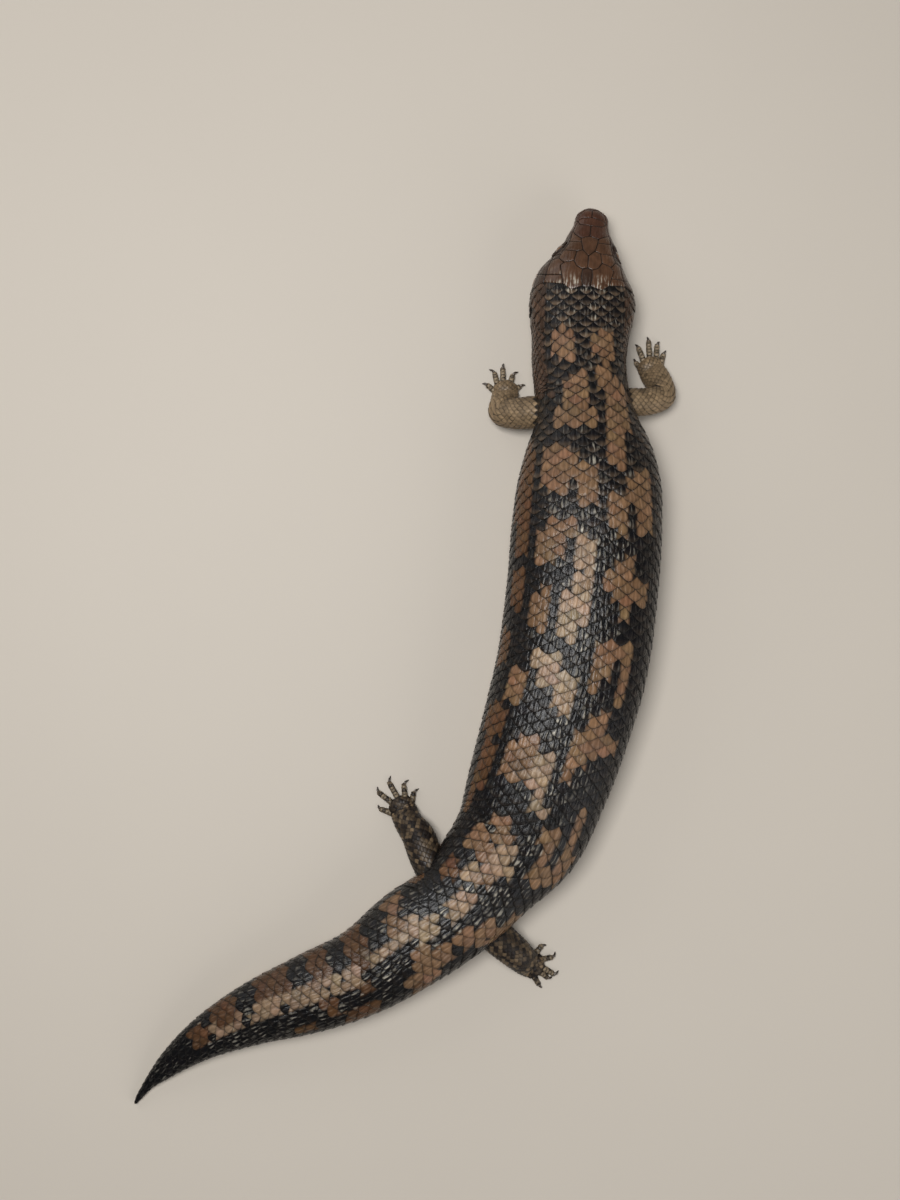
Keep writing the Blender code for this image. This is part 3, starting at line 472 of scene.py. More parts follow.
def toe_chart(limb: Limb, toe: Toe) -> TubeChart:
    """Return the surface of a toe from inside the palm to the root of its claw."""
    palm = np.array([limb.palm[0], limb.palm[1], 0.0])
    root = palm + bearing(toe.root_bearing) * (toe.root_distance * 0.55) + np.array([0, 0, 2.0])
    knuckle = palm + bearing(toe.root_bearing) * toe.root_distance
    reach = (0.0, 0.34, 0.67, 0.9, 1.0)
    rise = (1.9, 1.75, 1.35, 1.15, 1.05)
    girth = (1.12, 1.08, 1.0, 0.92, 0.62)
    spots = [root] + [knuckle + bearing(toe.bearing) * (toe.length * share) + np.array([0, 0, height])
                      for share, height in zip(reach, rise)]
    halves = [(TOE_RADIUS * 1.15,) * 2] + [(TOE_RADIUS * size,) * 2 for size in girth]
    return TubeChart(np.array(spots), np.array(halves), 0.2)


@dataclass(frozen=True)
class Cell:
    """One scale or plate before it is placed: its points, and its faces as corners and sizes."""

    points: np.ndarray
    corners: np.ndarray
    sizes: np.ndarray


def read_cell(bm: bmesh.types.BMesh) -> Cell:
    """Return the points and faces of a mesh, and free it."""
    bm.verts.index_update()
    points = np.array([vertex.co[:] for vertex in bm.verts])
    corners = np.array([vertex.index for face in bm.faces for vertex in face.verts])
    sizes = np.array([len(face.verts) for face in bm.faces])
    bm.free()
    return Cell(points, corners, sizes)


def scale_cell(across: int, along: int) -> Cell:
    """Return a flat scale with a wall along its two sides and its rear edge.

    Args:
        across: facets from side to side.
        along: facets from front to rear.

    Returns:
        Points from -1 to 1 across and from front to rear; a wall's foot is at height -1.
    """
    bm = bmesh.new()
    bmesh.ops.create_grid(bm, x_segments=across, y_segments=along, size=1.0)
    bmesh.ops.reverse_faces(bm, faces=bm.faces)
    edges = [e for e in bm.edges if e.is_boundary and max(v.co.y for v in e.verts) > -0.99]
    grown = bmesh.ops.extrude_edge_only(bm, edges=edges)
    for item in grown["geom"]:
        if isinstance(item, bmesh.types.BMVert):
            item.co.z = -1.0
    bmesh.ops.recalc_face_normals(bm, faces=bm.faces)
    bm.faces.ensure_lookup_table()
    if bm.faces[across * along // 2].normal.z > 0:
        bmesh.ops.reverse_faces(bm, faces=bm.faces)
    return read_cell(bm)


def disc_cell(segments: int, rings: int) -> Cell:
    """Return a disc of concentric rings; each point holds its turn, its ring's number and nothing."""
    bm = bmesh.new()
    bmesh.ops.create_circle(bm, cap_ends=True, segments=segments, radius=1.0)
    cap = [bm.faces[:][0]]
    for _ in range(rings - 1):
        bmesh.ops.inset_individual(bm, faces=cap, thickness=0.9 / rings, use_even_offset=True)
    bmesh.ops.poke(bm, faces=cap)
    for face in bm.faces:
        face.normal_update()
    if bm.faces[:][0].normal.z > 0:
        bmesh.ops.reverse_faces(bm, faces=bm.faces)
    cell = read_cell(bm)
    radius = np.linalg.norm(cell.points[:, :2], axis=1)
    levels = np.unique(radius.round(3))[::-1]
    ring = np.abs(radius[:, None] - levels[None]).argmin(axis=1)
    turn = np.arctan2(cell.points[:, 1], cell.points[:, 0]) / (2 * math.pi) * segments
    return Cell(np.stack((turn.round() % segments, ring, 0 * ring), axis=1), cell.corners, cell.sizes)


def linear(colour: tuple[float, float, float]) -> np.ndarray:
    """Return a screen colour, 0 to 255, as light."""
    share = np.array(colour) / 255.0
    return np.where(share < 0.04045, share / 12.92, ((share + 0.055) / 1.055) ** 2.4)


class Coat:
    """A growing mesh of many scales or plates, with what its finish reads at each point."""

    PATCH = 0.003

    def __init__(self, name: str) -> None:
        """Start an empty coat."""
        self.name = name
        self.parts: dict[str, list[np.ndarray]] = {}
        self.count = 0
        self.triangles = 0

    def add(self, cell: Cell, points: np.ndarray, hue: np.ndarray, rim: np.ndarray, painted_sheen: np.ndarray,
            grain: np.ndarray, roots: np.ndarray, local: np.ndarray) -> None:
        """Add copies of a cell that are already in place.

        Args:
            cell: the shape that is repeated.
            points: (copies, points, 3) places in millimetres.
            hue: (copies, points, 3) colours.
            rim: (copies, points) distance from the seam, below 0 in it.
            painted_sheen: (copies, points) strength of the painted sheen: pale streaks that stand in for
                highlights.
            grain: (copies, points, 3) coordinates along each copy's own grain.
            roots: (copies, 2) place of each copy on the unwrap.
            local: (points, 2) each point's place in its patch, from -0.5 to 0.5.
        """
        copies, size = points.shape[:2]
        offsets = self.count + np.arange(copies) * size
        for kind, values in (("points", points.reshape(-1, 3)), ("sizes", np.tile(cell.sizes, copies)),
                             ("corners", (cell.corners[None] + offsets[:, None]).ravel()),
                             ("hue", np.broadcast_to(hue, points.shape).reshape(-1, 3)),
                             ("rim", np.broadcast_to(rim, (copies, size)).ravel()),
                             ("painted_sheen", np.broadcast_to(painted_sheen, (copies, size)).ravel()),
                             ("grain", grain.reshape(-1, 3)),
                             ("map", (roots[:, None] + local[None] * self.PATCH).reshape(-1, 2))):
            self.parts.setdefault(kind, []).append(values)
        self.count += copies * size
        self.triangles += int((cell.sizes - 2).sum()) * copies

    def build(self, material: bpy.types.Material) -> bpy.types.Object:
        """Make the coat's object."""
        whole = {kind: np.concatenate(parts) for kind, parts in self.parts.items()}
        points, corners, sizes = whole["points"], whole["corners"], whole["sizes"]
        points[:, 2] = np.maximum(points[:, 2], 0.0)
        mesh = bpy.data.meshes.new(self.name)
        mesh.vertices.add(len(points))
        mesh.vertices.foreach_set("co", (points * MM).ravel())
        mesh.loops.add(len(corners))
        mesh.loops.foreach_set("vertex_index", corners)
        mesh.polygons.add(len(sizes))
        mesh.polygons.foreach_set("loop_start", np.concatenate(([0], np.cumsum(sizes)[:-1])))
        mesh.update(calc_edges=True)
        uv = mesh.uv_layers.new(name="OFBake")
        uv.uv.foreach_set("vector", whole["map"][corners].ravel())
        set_values(mesh, whole["hue"], whole["rim"], whole["painted_sheen"], whole["grain"])
        mesh.shade_smooth()
        return place_object(mesh, self.name, material)


def place_object(mesh: bpy.types.Mesh, name: str, material: bpy.types.Material) -> bpy.types.Object:
    """Return an object of a finished mesh, in its material, riding on the part."""
    mesh.materials.clear()
    mesh.materials.append(material)
    item = bpy.data.objects.new(name, mesh)
    bpy.context.scene.collection.objects.link(item)
    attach(item, ROOT)
    return item


class Tone(Enum):
    """The colours that a whole scale can have, as seen on a screen."""

    BLACK = (16, 15, 17)
    TAN = (118, 90, 66)
    # Pale scales; along the top the pale patches are partly painted highlight, and this colour also paints
    # the highlight on rear edges.
    PALE_AND_SHEEN = (142, 118, 94)
    FLANK = (88, 61, 40)
    BELLY = (168, 146, 114)
    NECK = (66, 48, 36)
    SHIELD = (76, 52, 36)
    SHIELD_DARK = (54, 37, 27)
    SNOUT = (68, 43, 31)
    LIP = (170, 112, 66)
    CREAM = (172, 152, 124)
    LEG = (152, 128, 98)
    LEG_DARK = (34, 27, 24)


@dataclass(frozen=True)
class Blotch:
    """A patch of one tone: its place along the body and round it, and its half-sizes."""

    tone: Tone
    s: float
    a: float
    long: float
    wide: float


def blotches(tone: Tone, *rows: tuple[float, float, float, float]) -> tuple[Blotch, ...]:
    """Return patches of one tone."""
    return tuple(Blotch(tone, *row) for row in rows)


BLOTCHES = (
    blotches(Tone.TAN, (56, -8.5, 6.5, 5), (57.5, 7.2, 6.3, 5.2), (72, -6.5, 6, 4), (82, -7, 8, 6),
             (86, -4, 4, 5), (85, -13, 4, 3), (70, 5.5, 5, 4), (77, 9.5, 6, 5), (86, 10.5, 8, 4.3),
             (97, 10.5, 9, 3.8), (104, -13, 8, 7), (108, -15, 7, 6), (112, -2, 8, 4.8), (113, 20.5, 8, 6),
             (124, 22.5, 6, 3.5), (122, 10.5, 6.5, 4), (129, 12, 4, 2.5), (129, -13, 5, 7),
             (135, -15, 6, 7), (140, -17, 4, 5), (162, -16.5, 10, 3.8), (147, 6.5, 4, 2.5),
             (142, 15, 5, 3.5), (150, 15, 8, 4), (160, 15.5, 4, 3), (152, 22, 7, 2.5), (176, 9, 5, 4),
             (182, 9.5, 5, 3.5), (187, 9.5, 3, 2), (175, 19, 5, 4.5), (183, 19.5, 6, 3.5),
             (189, 20, 3, 1.5), (196, -22.5, 8, 4.5), (217, -11, 4, 4.5), (223, -11, 6, 7),
             (229, -12, 4, 5), (203, 15.5, 8, 4), (210, 16.5, 5, 4), (210, 9, 5, 3.5), (217, 8.5, 6, 4),
             (224, 9.5, 4, 2.5), (209, 23.5, 4, 1.5), (242, 19, 6, 3), (249, 20, 5, 3), (256, 22, 6, 4.5),
             (249, 11, 5, 4), (255, 12, 5, 3.5), (261, 12.5, 4, 4), (252, -9, 4, 5), (256, -7, 4, 4),
             (263, -13, 5, 5), (267, -13, 4, 5.5), (273, 1, 4, 3), (283, 23, 5, 5), (289, 17, 5, 6),
             (295, 10, 4, 4), (316, -9, 6, 4), (306, 11, 5, 5), (314, 12, 6, 5), (320, 14, 5, 4.5),
             (312, 4, 4, 3), (311, -20, 5, 5))
    # Pale patches along the middle line: partly pale scales, partly painted highlight where the top catches
    # the light.
    + blotches(Tone.PALE_AND_SHEEN, (137, -3, 7, 4), (141, 0, 5, 4), (152, -1, 5, 4.5), (160, -4, 8, 5.5),
             (168, -5, 5, 3.5), (183, -11, 5, 6), (189, -10, 5, 5), (190, -2, 4, 3.5), (196, -1.5, 5, 3.5),
             (200, -1, 4, 3), (221, -2, 4, 4), (228, -1, 6, 4), (235, 0, 6, 4), (241, 2, 3, 3),
             (262, -1, 4, 5), (268, -1, 4, 6), (276, -5, 5, 4), (289, -1, 7, 5), (307, -4, 7, 5),
             (314, -4, 6, 4), (328, -4, 10, 4), (345, -3.5, 10, 4), (362, -2.5, 10, 3.5),
             (380, -2.5, 10, 3), (396, -2, 8, 3))
    + blotches(Tone.FLANK, (118, -30.5, 25, 5.5), (155, -29, 8, 4.5), (181, -35, 10, 3.5), (211, -28, 7, 5),
             (230, -27, 12, 4), (249, -29, 8, 2.5), (281, -15, 6, 3.5), (334, -16, 6.5, 12),
             (353, -16, 5.5, 11), (374, -14, 8, 9), (396, -9, 6, 6), (409, -3, 5, 3.5), (338, 3.5, 4, 3),
             (354, 5, 4, 3.5), (345, 14, 7, 5), (366, 13, 5, 2.5), (322, 22, 6, 6), (298, -27, 5, 6))
    + blotches(Tone.BLACK, (137, -8.5, 3, 1.5), (304, -15, 5, 7), (323, -15, 4.5, 10), (345, -15, 3.5, 11),
             (363, -14, 3.5, 9), (386, -11, 4, 9), (140, -23.3, 46, 2.2), (57, -1, 9, 3))
)


class Markings:
    """The animal's pattern: which tone each scale has, wherever it lies on the body."""

    def __init__(self, body: BodyChart) -> None:
        """Keep the body that the pattern lies on."""
        self.body = body

    def tones(self, s: np.ndarray, a: np.ndarray, seed: int) -> np.ndarray:
        """Return the colours of scales by their places.

        Args:
            s: distances behind the snout, one for each scale.
            a: distances round the body, in one column or more for each scale.
            seed: starts the small random differences.

        Returns:
            (scales, columns, 3) colours.
        """
        rng = np.random.default_rng(seed)
        first = (len(s),) + (1,) * (a.ndim - 1)
        s = s.reshape(first) + 0 * a
        left, right = self.body.girths(s)
        share = np.abs(a) / np.where(a < 0, left, right)
        colour = np.tile(linear(Tone.BLACK.value), a.shape + (1,))
        bars = np.sin(s / 5.3 + 1.4 * np.sin(s / 17.0) + np.where(a < 0, 0.0, 1.9) + share * 2.2)
        low = (share > 0.5) & (bars > 0.15 - 0.9 * np.clip((share - 0.5) / 0.2, 0, 1))
        colour[low] = linear(Tone.FLANK.value)
        for patch in BLOTCHES:
            inside = np.abs((s - patch.s) / patch.long) ** 3 + np.abs((a - patch.a) / patch.wide) ** 3 < 1.0
            colour[inside] = linear(patch.tone.value)
        under = np.clip((share - 0.62 - 0.06 * bars) / 0.08, 0.0, 1.0)[..., None]
        dusk = (rng.random(first) < 0.22)[..., None] * 0.55
        belly = linear(Tone.BELLY.value) * (1 - dusk)
        colour = colour * np.interp(s, (290, 345), (1.0, 0.72))[..., None]
        colour = colour * (1 - under) + belly * under
        light, tint = rng.normal(0.0, 0.10, first + (1,)), rng.normal(0.0, 0.03, first + (3,))
        return colour * np.exp(light) * (1 + tint)


@dataclass(frozen=True)
class Weave:
    """How a field of overlapping scales is laid: sizes by place, and the shape of one scale."""

    widths: tuple[tuple[float, float], ...]
    pitches: tuple[tuple[float, float], ...]
    overlap: float = 0.98
    front: float = 0.46
    rear: float = 0.78
    corner: float = 0.50
    base: float = -0.52
    step: float = 0.66
    crown: float = 0.22
    wall: float = 0.44
    # How fast the darkening at the seams fades: partly dark seams, partly painted shade under each covering
    # edge.
    seam: float = 1.0

    def width(self, s: np.ndarray) -> np.ndarray:
        """Return the distance between two columns of scales."""
        return np.interp(s, *np.array(self.widths).T)

    def pitch(self, s: np.ndarray) -> np.ndarray:
        """Return the distance from one scale to the next in its column."""
        return np.interp(s, *np.array(self.pitches).T)


class ScaleField:
    """Overlapping scales in offset columns on a chart."""

    FULL_PITCH = 5.0           # a scale this long has its whole thickness

    def __init__(self, chart: Chart, weave: Weave, cell: Cell, seed: int) -> None:
        """Lay out the columns.

        Args:
            chart: the surface that carries the scales.
            weave: their sizes and shape.
            cell: the flat scale that is repeated.
            seed: starts the small random differences.
        """
        self.chart, self.weave, self.cell = chart, weave, cell
        self.rng = np.random.default_rng(seed)
        at = np.arange(chart.along[0], chart.along[-1] + 0.2, 0.2)
        rate = 1.0 / weave.pitch(at)
        count = np.concatenate(([0.0], np.cumsum((rate[1:] + rate[:-1]) / 2 * 0.2)))
        left, right = chart.girths(at)
        reach = int(np.ceil((np.maximum(left, right) / weave.width(at)).max())) + 1
        places = []
        for column in range(-reach, reach + 1):
            turns = np.arange(0, count[-1]) + 0.5 * (column % 2)
            s = np.interp(turns, count, at)
            places.append(np.stack((s, column * weave.width(s), np.full(len(s), column)), axis=1))
        found = np.concatenate(places)
        left, right = chart.girths(found[:, 0])
        spare = weave.width(found[:, 0])
        kept = (found[:, 1] < right + 0.1 * spare) & (found[:, 1] > -left + 0.45 * spare)
        self.s, self.a, self.column = found[kept].T

    def keep(self, chosen: np.ndarray) -> None:
        """Keep only some of the scales."""
        self.s, self.a, self.column = self.s[chosen], self.a[chosen], self.column[chosen]

    def lanes(self) -> np.ndarray:
        """Return how far round each scale and the columns at its left and right lie."""
        return (self.column[:, None] + np.array([-1, 0, 1])) * self.weave.width(self.s)[:, None]

    def centres(self) -> np.ndarray:
        """Return the scales' middles in space."""
        return self.chart.spots(self.s, self.a)[0]

    def lay(self, coat: Coat, hue: np.ndarray, painted_sheen: np.ndarray, reach: tuple[float, float],
            edge: np.ndarray | None = None, chosen: np.ndarray | None = None) -> None:
        """Add the scales to a coat.

        Args:
            coat: the coat that takes them.
            hue: (scales, 3, 3) colours of each scale's left, middle and right.
            painted_sheen: strength of each scale's painted sheen: pale streaks that stand in for highlights.
            reach: the stretch of the surface that the coat's unwrap covers.
            edge: (scales, 4) colour of a painted highlight along the rear edge and how strong it is.
            chosen: which of the scales are laid.
        """
        chosen = np.ones(len(self.s), bool) if chosen is None else chosen
        s, column = self.s[chosen][:, None], self.column[chosen][:, None]
        hue, painted_sheen, weave, rng = hue[chosen], painted_sheen[chosen], self.weave, self.rng
        copies = len(s)
        if copies == 0:
            return
        u, t = self.cell.points[None, :, 0], (self.cell.points[None, :, 1] + 1) / 2
        u, t = np.sign(u) * (1 - (1 - np.abs(u)) ** 1.35), 1 - (1 - t) ** 1.55
        wall = self.cell.points[None, :, 2] < -0.5
        pitch, width = weave.pitch(s), weave.width(s)
        size = 1 + rng.normal(0.0, 0.03, (copies, 1))
        rear = pitch * (weave.rear * size - weave.corner * np.abs(u) ** 1.55)
        front = pitch * weave.front
        y = (rear + front) * t - front
        x = u * width * weave.overlap * (0.90 + 0.10 * t) * size
        y, x = np.where(wall, y - 0.03 * width * t, y), np.where(wall, x * 0.98, x)
        turn = rng.normal(0.0, 0.025, (copies, 1))
        x, y = x + y * turn, y - x * turn
        scale = np.clip(pitch / self.FULL_PITCH, 0.3, 1.1)
        droop = 0.14 * np.clip((t - 0.75) / 0.25, 0.0, 1.0) ** 2
        lift = (weave.base * (0.4 + 0.6 * scale) + weave.step * scale * y / pitch
                + scale * (weave.crown * (1 - u * u) - droop)
                + rng.normal(0.0, 0.02, (copies, 1)) - np.where(wall, weave.wall * scale, 0.0))
        down = s + y
        spots, normals = self.chart.spots(down, column * weave.width(down) + x)
        points = spots + normals * lift[..., None]
        hidden = np.maximum(weave.rear - 1 - weave.corner * np.abs(u) ** 1.55,
                            weave.rear - 0.5 - weave.corner * (1 - np.abs(u)) ** 1.55) * pitch
        # Seam darkening read by the finish: walls fully dark, the face darker near the covering edge and its
        # own rear edge; partly dark seams, partly painted shade.
        rim = np.where(wall, -0.4, np.minimum(y - hidden, (rear - y) * 0.7 + 0.05) * weave.seam / scale)
        exposed = (y - hidden) / np.maximum(rear - hidden, 1e-6)
        shades = hue[:, np.where(np.abs(u[0]) < 0.5, 1, np.where(u[0] < 0, 0, 2))]
        # Painted highlight: the rear part of each exposed face is blended toward a pale colour.
        if edge is not None:
            border = np.clip((exposed - 0.45) / 0.35, 0, 1)[..., None]
            strength = edge[chosen][:, None, 3:] * border * ~wall[..., None]
            shades = shades * (1 - strength) + edge[chosen][:, None, :3] * strength
        numbers = np.arange(copies)[:, None] + 0.37
        grain = np.stack((u * width * 0.7 + 31.0 * numbers, y / pitch + 0 * x, 7.7 * numbers + 0 * x),
                         axis=-1)
        # The painted sheen is strongest in the middle of each exposed face and fades at its front and rear.
        painted_sheen = painted_sheen[:, None] * np.clip(exposed / 0.35, 0.0, 1.0) * np.clip((1.0 - exposed) / 0.2, 0.0, 1.0)
        roots = self.chart.unwrap(self.s[chosen], self.a[chosen], reach)
        local = np.stack((u[0] / 2, t[0] - 0.5), axis=1)
        coat.add(self.cell, points, shades, rim, painted_sheen, grain, roots, local)


def dense(corners: np.ndarray, spacing: float = 0.25) -> np.ndarray:
    """Return a closed outline with points at an even small spacing along its straight sides."""
    ends = np.roll(corners, -1, axis=0)
    parts = []
    for start, end in zip(corners, ends):
        count = max(int(np.linalg.norm(end - start) / spacing), 1)
        parts.append(start + (end - start) * np.arange(count)[:, None] / count)
    return np.concatenate(parts)


def evenly(outline: np.ndarray, count: int) -> np.ndarray:
    """Return a closed outline read at equal steps along it."""
    closed = np.concatenate((outline, outline[:1]))
    run = np.concatenate(([0.0], np.cumsum(np.linalg.norm(np.diff(closed, axis=0), axis=1))))
    at = np.linspace(0.0, run[-1], count, endpoint=False)
    return np.stack([np.interp(at, run, closed[:, axis]) for axis in range(2)], axis=1)


def trimmed(outline: np.ndarray, count: int, corner: float, seam: float) -> np.ndarray:
    """Round an outline's corners and draw it in by a seam.

    Args:
        outline: a dense closed outline.
        count: how many points the result has.
        corner: how far from a corner the rounding begins.
        seam: how far the outline is drawn in.
    """
    line = evenly(outline, count * 4)
    length = np.linalg.norm(np.roll(line, -1, axis=0) - line, axis=1).sum()
    reach = max(int(corner / length * len(line)), 1)
    shifts = range(-reach, reach + 1)
    line = sum(np.roll(line, shift, axis=0) for shift in shifts) / len(shifts)
    tangent = unit(np.roll(line, -1, axis=0) - np.roll(line, 1, axis=0))
    area = (line[:, 0] * np.roll(line[:, 1], -1) - line[:, 1] * np.roll(line[:, 0], -1)).sum()
    inward = np.stack((-tangent[:, 1], tangent[:, 0]), axis=1) * np.sign(area)
    return evenly(line + inward * seam, count)


@dataclass(frozen=True)
class Ring:
    """One ring of a plate: its share of the way out, how far it is drawn in, and its height."""

    share: float
    inset: float
    height: float


DOME = (Ring(1.0, 0.0, -1.5), Ring(1.0, 0.0, 0.30), Ring(1.0, 0.05, 0.72), Ring(1.0, 0.14, 0.93),
        Ring(1.0, 0.34, 1.02), Ring(0.74, 0.1, 1.08), Ring(0.5, 0.0, 1.13), Ring(0.25, 0.0, 1.16),
        Ring(0.0, 0.0, 1.17))
NOSTRIL = (Ring(1.0, 0.0, -1.5), Ring(1.0, 0.0, 0.15), Ring(1.0, 0.08, 0.65), Ring(1.0, 0.25, 0.95),
           Ring(0.66, 0.0, 1.1), Ring(0.46, 0.0, 1.35), Ring(0.34, 0.0, 0.9), Ring(0.27, 0.0, -2.0),
           Ring(0.0, 0.0, -3.4))


class PlateSetter:
    """Lays single plates, each with its own outline, on the body."""

    SEGMENTS = 44
    CORNER = 0.35
    SEAM = 0.06

    def __init__(self, body: BodyChart, coat: Coat, reach: tuple[float, float], seed: int) -> None:
        """Keep the body and the coat that takes the plates."""
        self.body, self.coat, self.reach = body, coat, reach
        self.rng = np.random.default_rng(seed)
        self.cell = disc_cell(self.SEGMENTS, len(DOME) - 1)
        self.covered: list[np.ndarray] = []
        self.number = 0

    def unroll(self, s: np.ndarray, a: np.ndarray) -> np.ndarray:
        """Return flat places, nearly true to size, of places on the body."""
        return np.stack((np.interp(s, self.body.along, self.body.run), a), axis=1)

    def roll(self, flat: np.ndarray) -> tuple[np.ndarray, np.ndarray]:
        """Return the places on the body of flat places."""
        return np.interp(flat[..., 0], self.body.run, self.body.along), flat[..., 1]

    def side(self, corners: tuple[tuple[float, float], ...], side: int) -> np.ndarray:
        """Return the flat outline of corners given as (behind the snout, height), seen from one side."""
        line = dense(np.array(corners))
        return self.unroll(line[:, 0], self.body.from_side(line[:, 0], line[:, 1], side))

    def lay(self, outline: np.ndarray, hue: np.ndarray, thick: float = 0.42, rings: tuple[Ring, ...] = DOME,
            hub: np.ndarray | None = None, front: bool = False, corner: float | None = None,
            painted_sheen: float = 0.0, edge: tuple[np.ndarray, float] | None = None) -> None:
        """Add one plate.

        Args:
            outline: its flat outline, or (across, height) where it is seen from the front.
            hue: its colour.
            thick: how far its top stands over its groove.
            rings: the profile from its edge to its middle.
            hub: its middle; the outline's own where none is given.
            front: whether the outline is seen from the front.
            corner: how far from a corner the rounding begins.
            painted_sheen: strength of its painted sheen: pale streaks that stand in for highlights, strongest
                toward its rear.
            edge: colour and strength of a band along its edge.
        """
        line = trimmed(outline, self.SEGMENTS, self.CORNER if corner is None else corner, self.SEAM)
        hub = line.mean(axis=0) if hub is None else hub
        step, ring = self.cell.points[:, 0].astype(int), self.cell.points[:, 1].astype(int)
        share, inset, height = (np.array([getattr(r, name) for r in rings])[ring]
                                for name in ("share", "inset", "height"))
        spoke = hub - line[step]
        far = np.linalg.norm(spoke, axis=1)
        drawn = 1 - np.clip(inset / np.maximum(far, 1e-6), 0.0, 0.6)
        flat = hub - spoke * (share * drawn)[:, None]
        if front:
            s, a = self.body.from_front(flat[:, 0], flat[:, 1])
            root = self.body.from_front(hub[:1], hub[1:])
        else:
            s, a = self.roll(flat)
            root = self.roll(hub[None])
            self.covered.append(line)
        base = -0.5
        lift = np.where(height < 0, base + height * 0.5, base + height * thick)
        spots, normals = self.body.spots(s, a)
        points = spots + normals * lift[:, None]
        # The plate's skirt and lowest ring, and a nostril's pit, are fully darkened, and the face darkens
        # near its edge: partly dark seams, partly painted shade.
        rim = np.where(height < 0.5, -0.2, far * (1 - share * drawn) * 1.8)
        # The painted sheen grows toward the plate's rear edge.
        behind = (flat[:, 0] - hub[0]) / max(np.ptp(line[:, 0]) / 2, 1e-6)
        shade = hue * math.exp(self.rng.normal(0.0, 0.07))
        shades = np.repeat(shade[None], len(points), axis=0)
        if edge is not None:
            band = (np.clip(1.3 - far * (1 - share * drawn) / 0.5, 0.0, 1.0) * edge[1])[:, None]
            shades = shades * (1 - band) + edge[0] * band
        self.number += 1
        centre = flat - hub
        grain = np.stack((centre[:, 1] + 17.0 * self.number, centre[:, 0] * 0.3,
                          np.full(len(flat), 5.3 * self.number)), axis=1)
        turn = step / self.SEGMENTS * 2 * math.pi
        local = np.stack((np.cos(turn), np.sin(turn)), axis=1) * (share * 0.5)[:, None]
        self.coat.add(self.cell, points[None], shades[None], rim[None],
                      painted_sheen * np.clip(0.25 + 1.2 * behind, 0.0, 1.0)[None], grain[None],
                      self.body.unwrap(*root, self.reach), local)

    def covers(self, s: np.ndarray, a: np.ndarray, margin: float) -> np.ndarray:
        """Return which places on the body lie under a plate, or within a margin of one."""
        flat = self.unroll(s, a)
        inside = np.zeros(len(s), bool)
        for line in self.covered:
            near = (np.abs(flat - line.mean(axis=0)) < np.ptp(line, axis=0) / 2 + margin + 1).all(axis=1)
            if not near.any():
                continue
            spots = flat[near]
            ends = np.roll(line, -1, axis=0)
            crossing = (line[None, :, 1] > spots[:, None, 1]) != (ends[None, :, 1] > spots[:, None, 1])
            rise = np.where(ends[:, 1] == line[:, 1], 1e-9, ends[:, 1] - line[:, 1])
            share = (spots[:, None, 1] - line[None, :, 1]) / rise[None]
            where = line[None, :, 0] + share * (ends - line)[None, :, 0]
            odd = (crossing & (spots[:, None, 0] < where)).sum(axis=1) % 2 == 1
            gap = np.linalg.norm(spots[:, None] - line[None], axis=2).min(axis=1)
            inside[np.flatnonzero(near)[odd | (gap < margin)]] = True
        return inside


class Graph:
    """Short calls that build a tree of shader nodes."""

    def __init__(self, tree: bpy.types.NodeTree) -> None:
        """Keep the tree."""
        self.tree = tree

    def node(self, kind: str, **settings: object) -> bpy.types.Node:
        """Add a node with its settings."""
        made = self.tree.nodes.new(kind)
        for name, value in settings.items():
            setattr(made, name, value)
        return made

    def feed(self, target: bpy.types.NodeSocket, source: object) -> None:
        """Link a socket into another, or set the other to a value."""
        if isinstance(source, bpy.types.NodeSocket):
            self.tree.links.new(source, target)
        else:
            target.default_value = source

    def math(self, operation: str, *values: object) -> bpy.types.NodeSocket:
        """Return the result of a sum on sockets or numbers."""
        made = self.node("ShaderNodeMath", operation=operation)
        for socket, value in zip(made.inputs, values):
            self.feed(socket, value)
        return made.outputs[0]

    def weigh(self, *terms: tuple[object, object]) -> bpy.types.NodeSocket:
        """Return the sum of sockets or numbers, each times its weight."""
        parts = [self.math("MULTIPLY", value, weight) for value, weight in terms]
        total = parts[0]
        for part in parts[1:]:
            total = self.math("ADD", total, part)
        return total

    def mix(self, share: object, first: object, second: object) -> bpy.types.NodeSocket:
        """Return a mix of two colours."""
        made = self.node("ShaderNodeMix", data_type="RGBA")
        for socket, value in zip((made.inputs[0], made.inputs[6], made.inputs[7]), (share, first, second)):
            self.feed(socket, value)
        return made.outputs[2]

    def fade(self, value: object, low: float, high: float) -> bpy.types.NodeSocket:
        """Return 0 below one value, 1 above another, and a smooth rise between."""
        made = self.node("ShaderNodeMapRange", interpolation_type="SMOOTHSTEP")
        for socket, part in zip(made.inputs, (value, low, high)):
            self.feed(socket, part)
        return made.outputs[0]

    def noise(self, vector: object, scale: float, detail: float = 3.0) -> bpy.types.NodeSocket:
        """Return a noise from 0 to 1."""
        made = self.node("ShaderNodeTexNoise")
        self.feed(made.inputs["Vector"], vector)
        made.inputs["Scale"].default_value = scale
        made.inputs["Detail"].default_value = detail
        return made.outputs["Fac"]

    def attribute(self, name: str, output: str) -> bpy.types.NodeSocket:
        """Return one of the mesh's own values."""
        return self.node("ShaderNodeAttribute", attribute_name=name).outputs[output]

    def place(self) -> bpy.types.NodeSocket:
        """Return the object's own coordinates."""
        return self.node("ShaderNodeTexCoord").outputs["Object"]

    def bump(self, height: object, strength: object, distance: float) -> bpy.types.NodeSocket:
        """Return the shading normal of a fine relief."""
        made = self.node("ShaderNodeBump")
        self.feed(made.inputs["Height"], height)
        self.feed(made.inputs["Strength"], strength)
        made.inputs["Distance"].default_value = distance
        return made.outputs["Normal"]


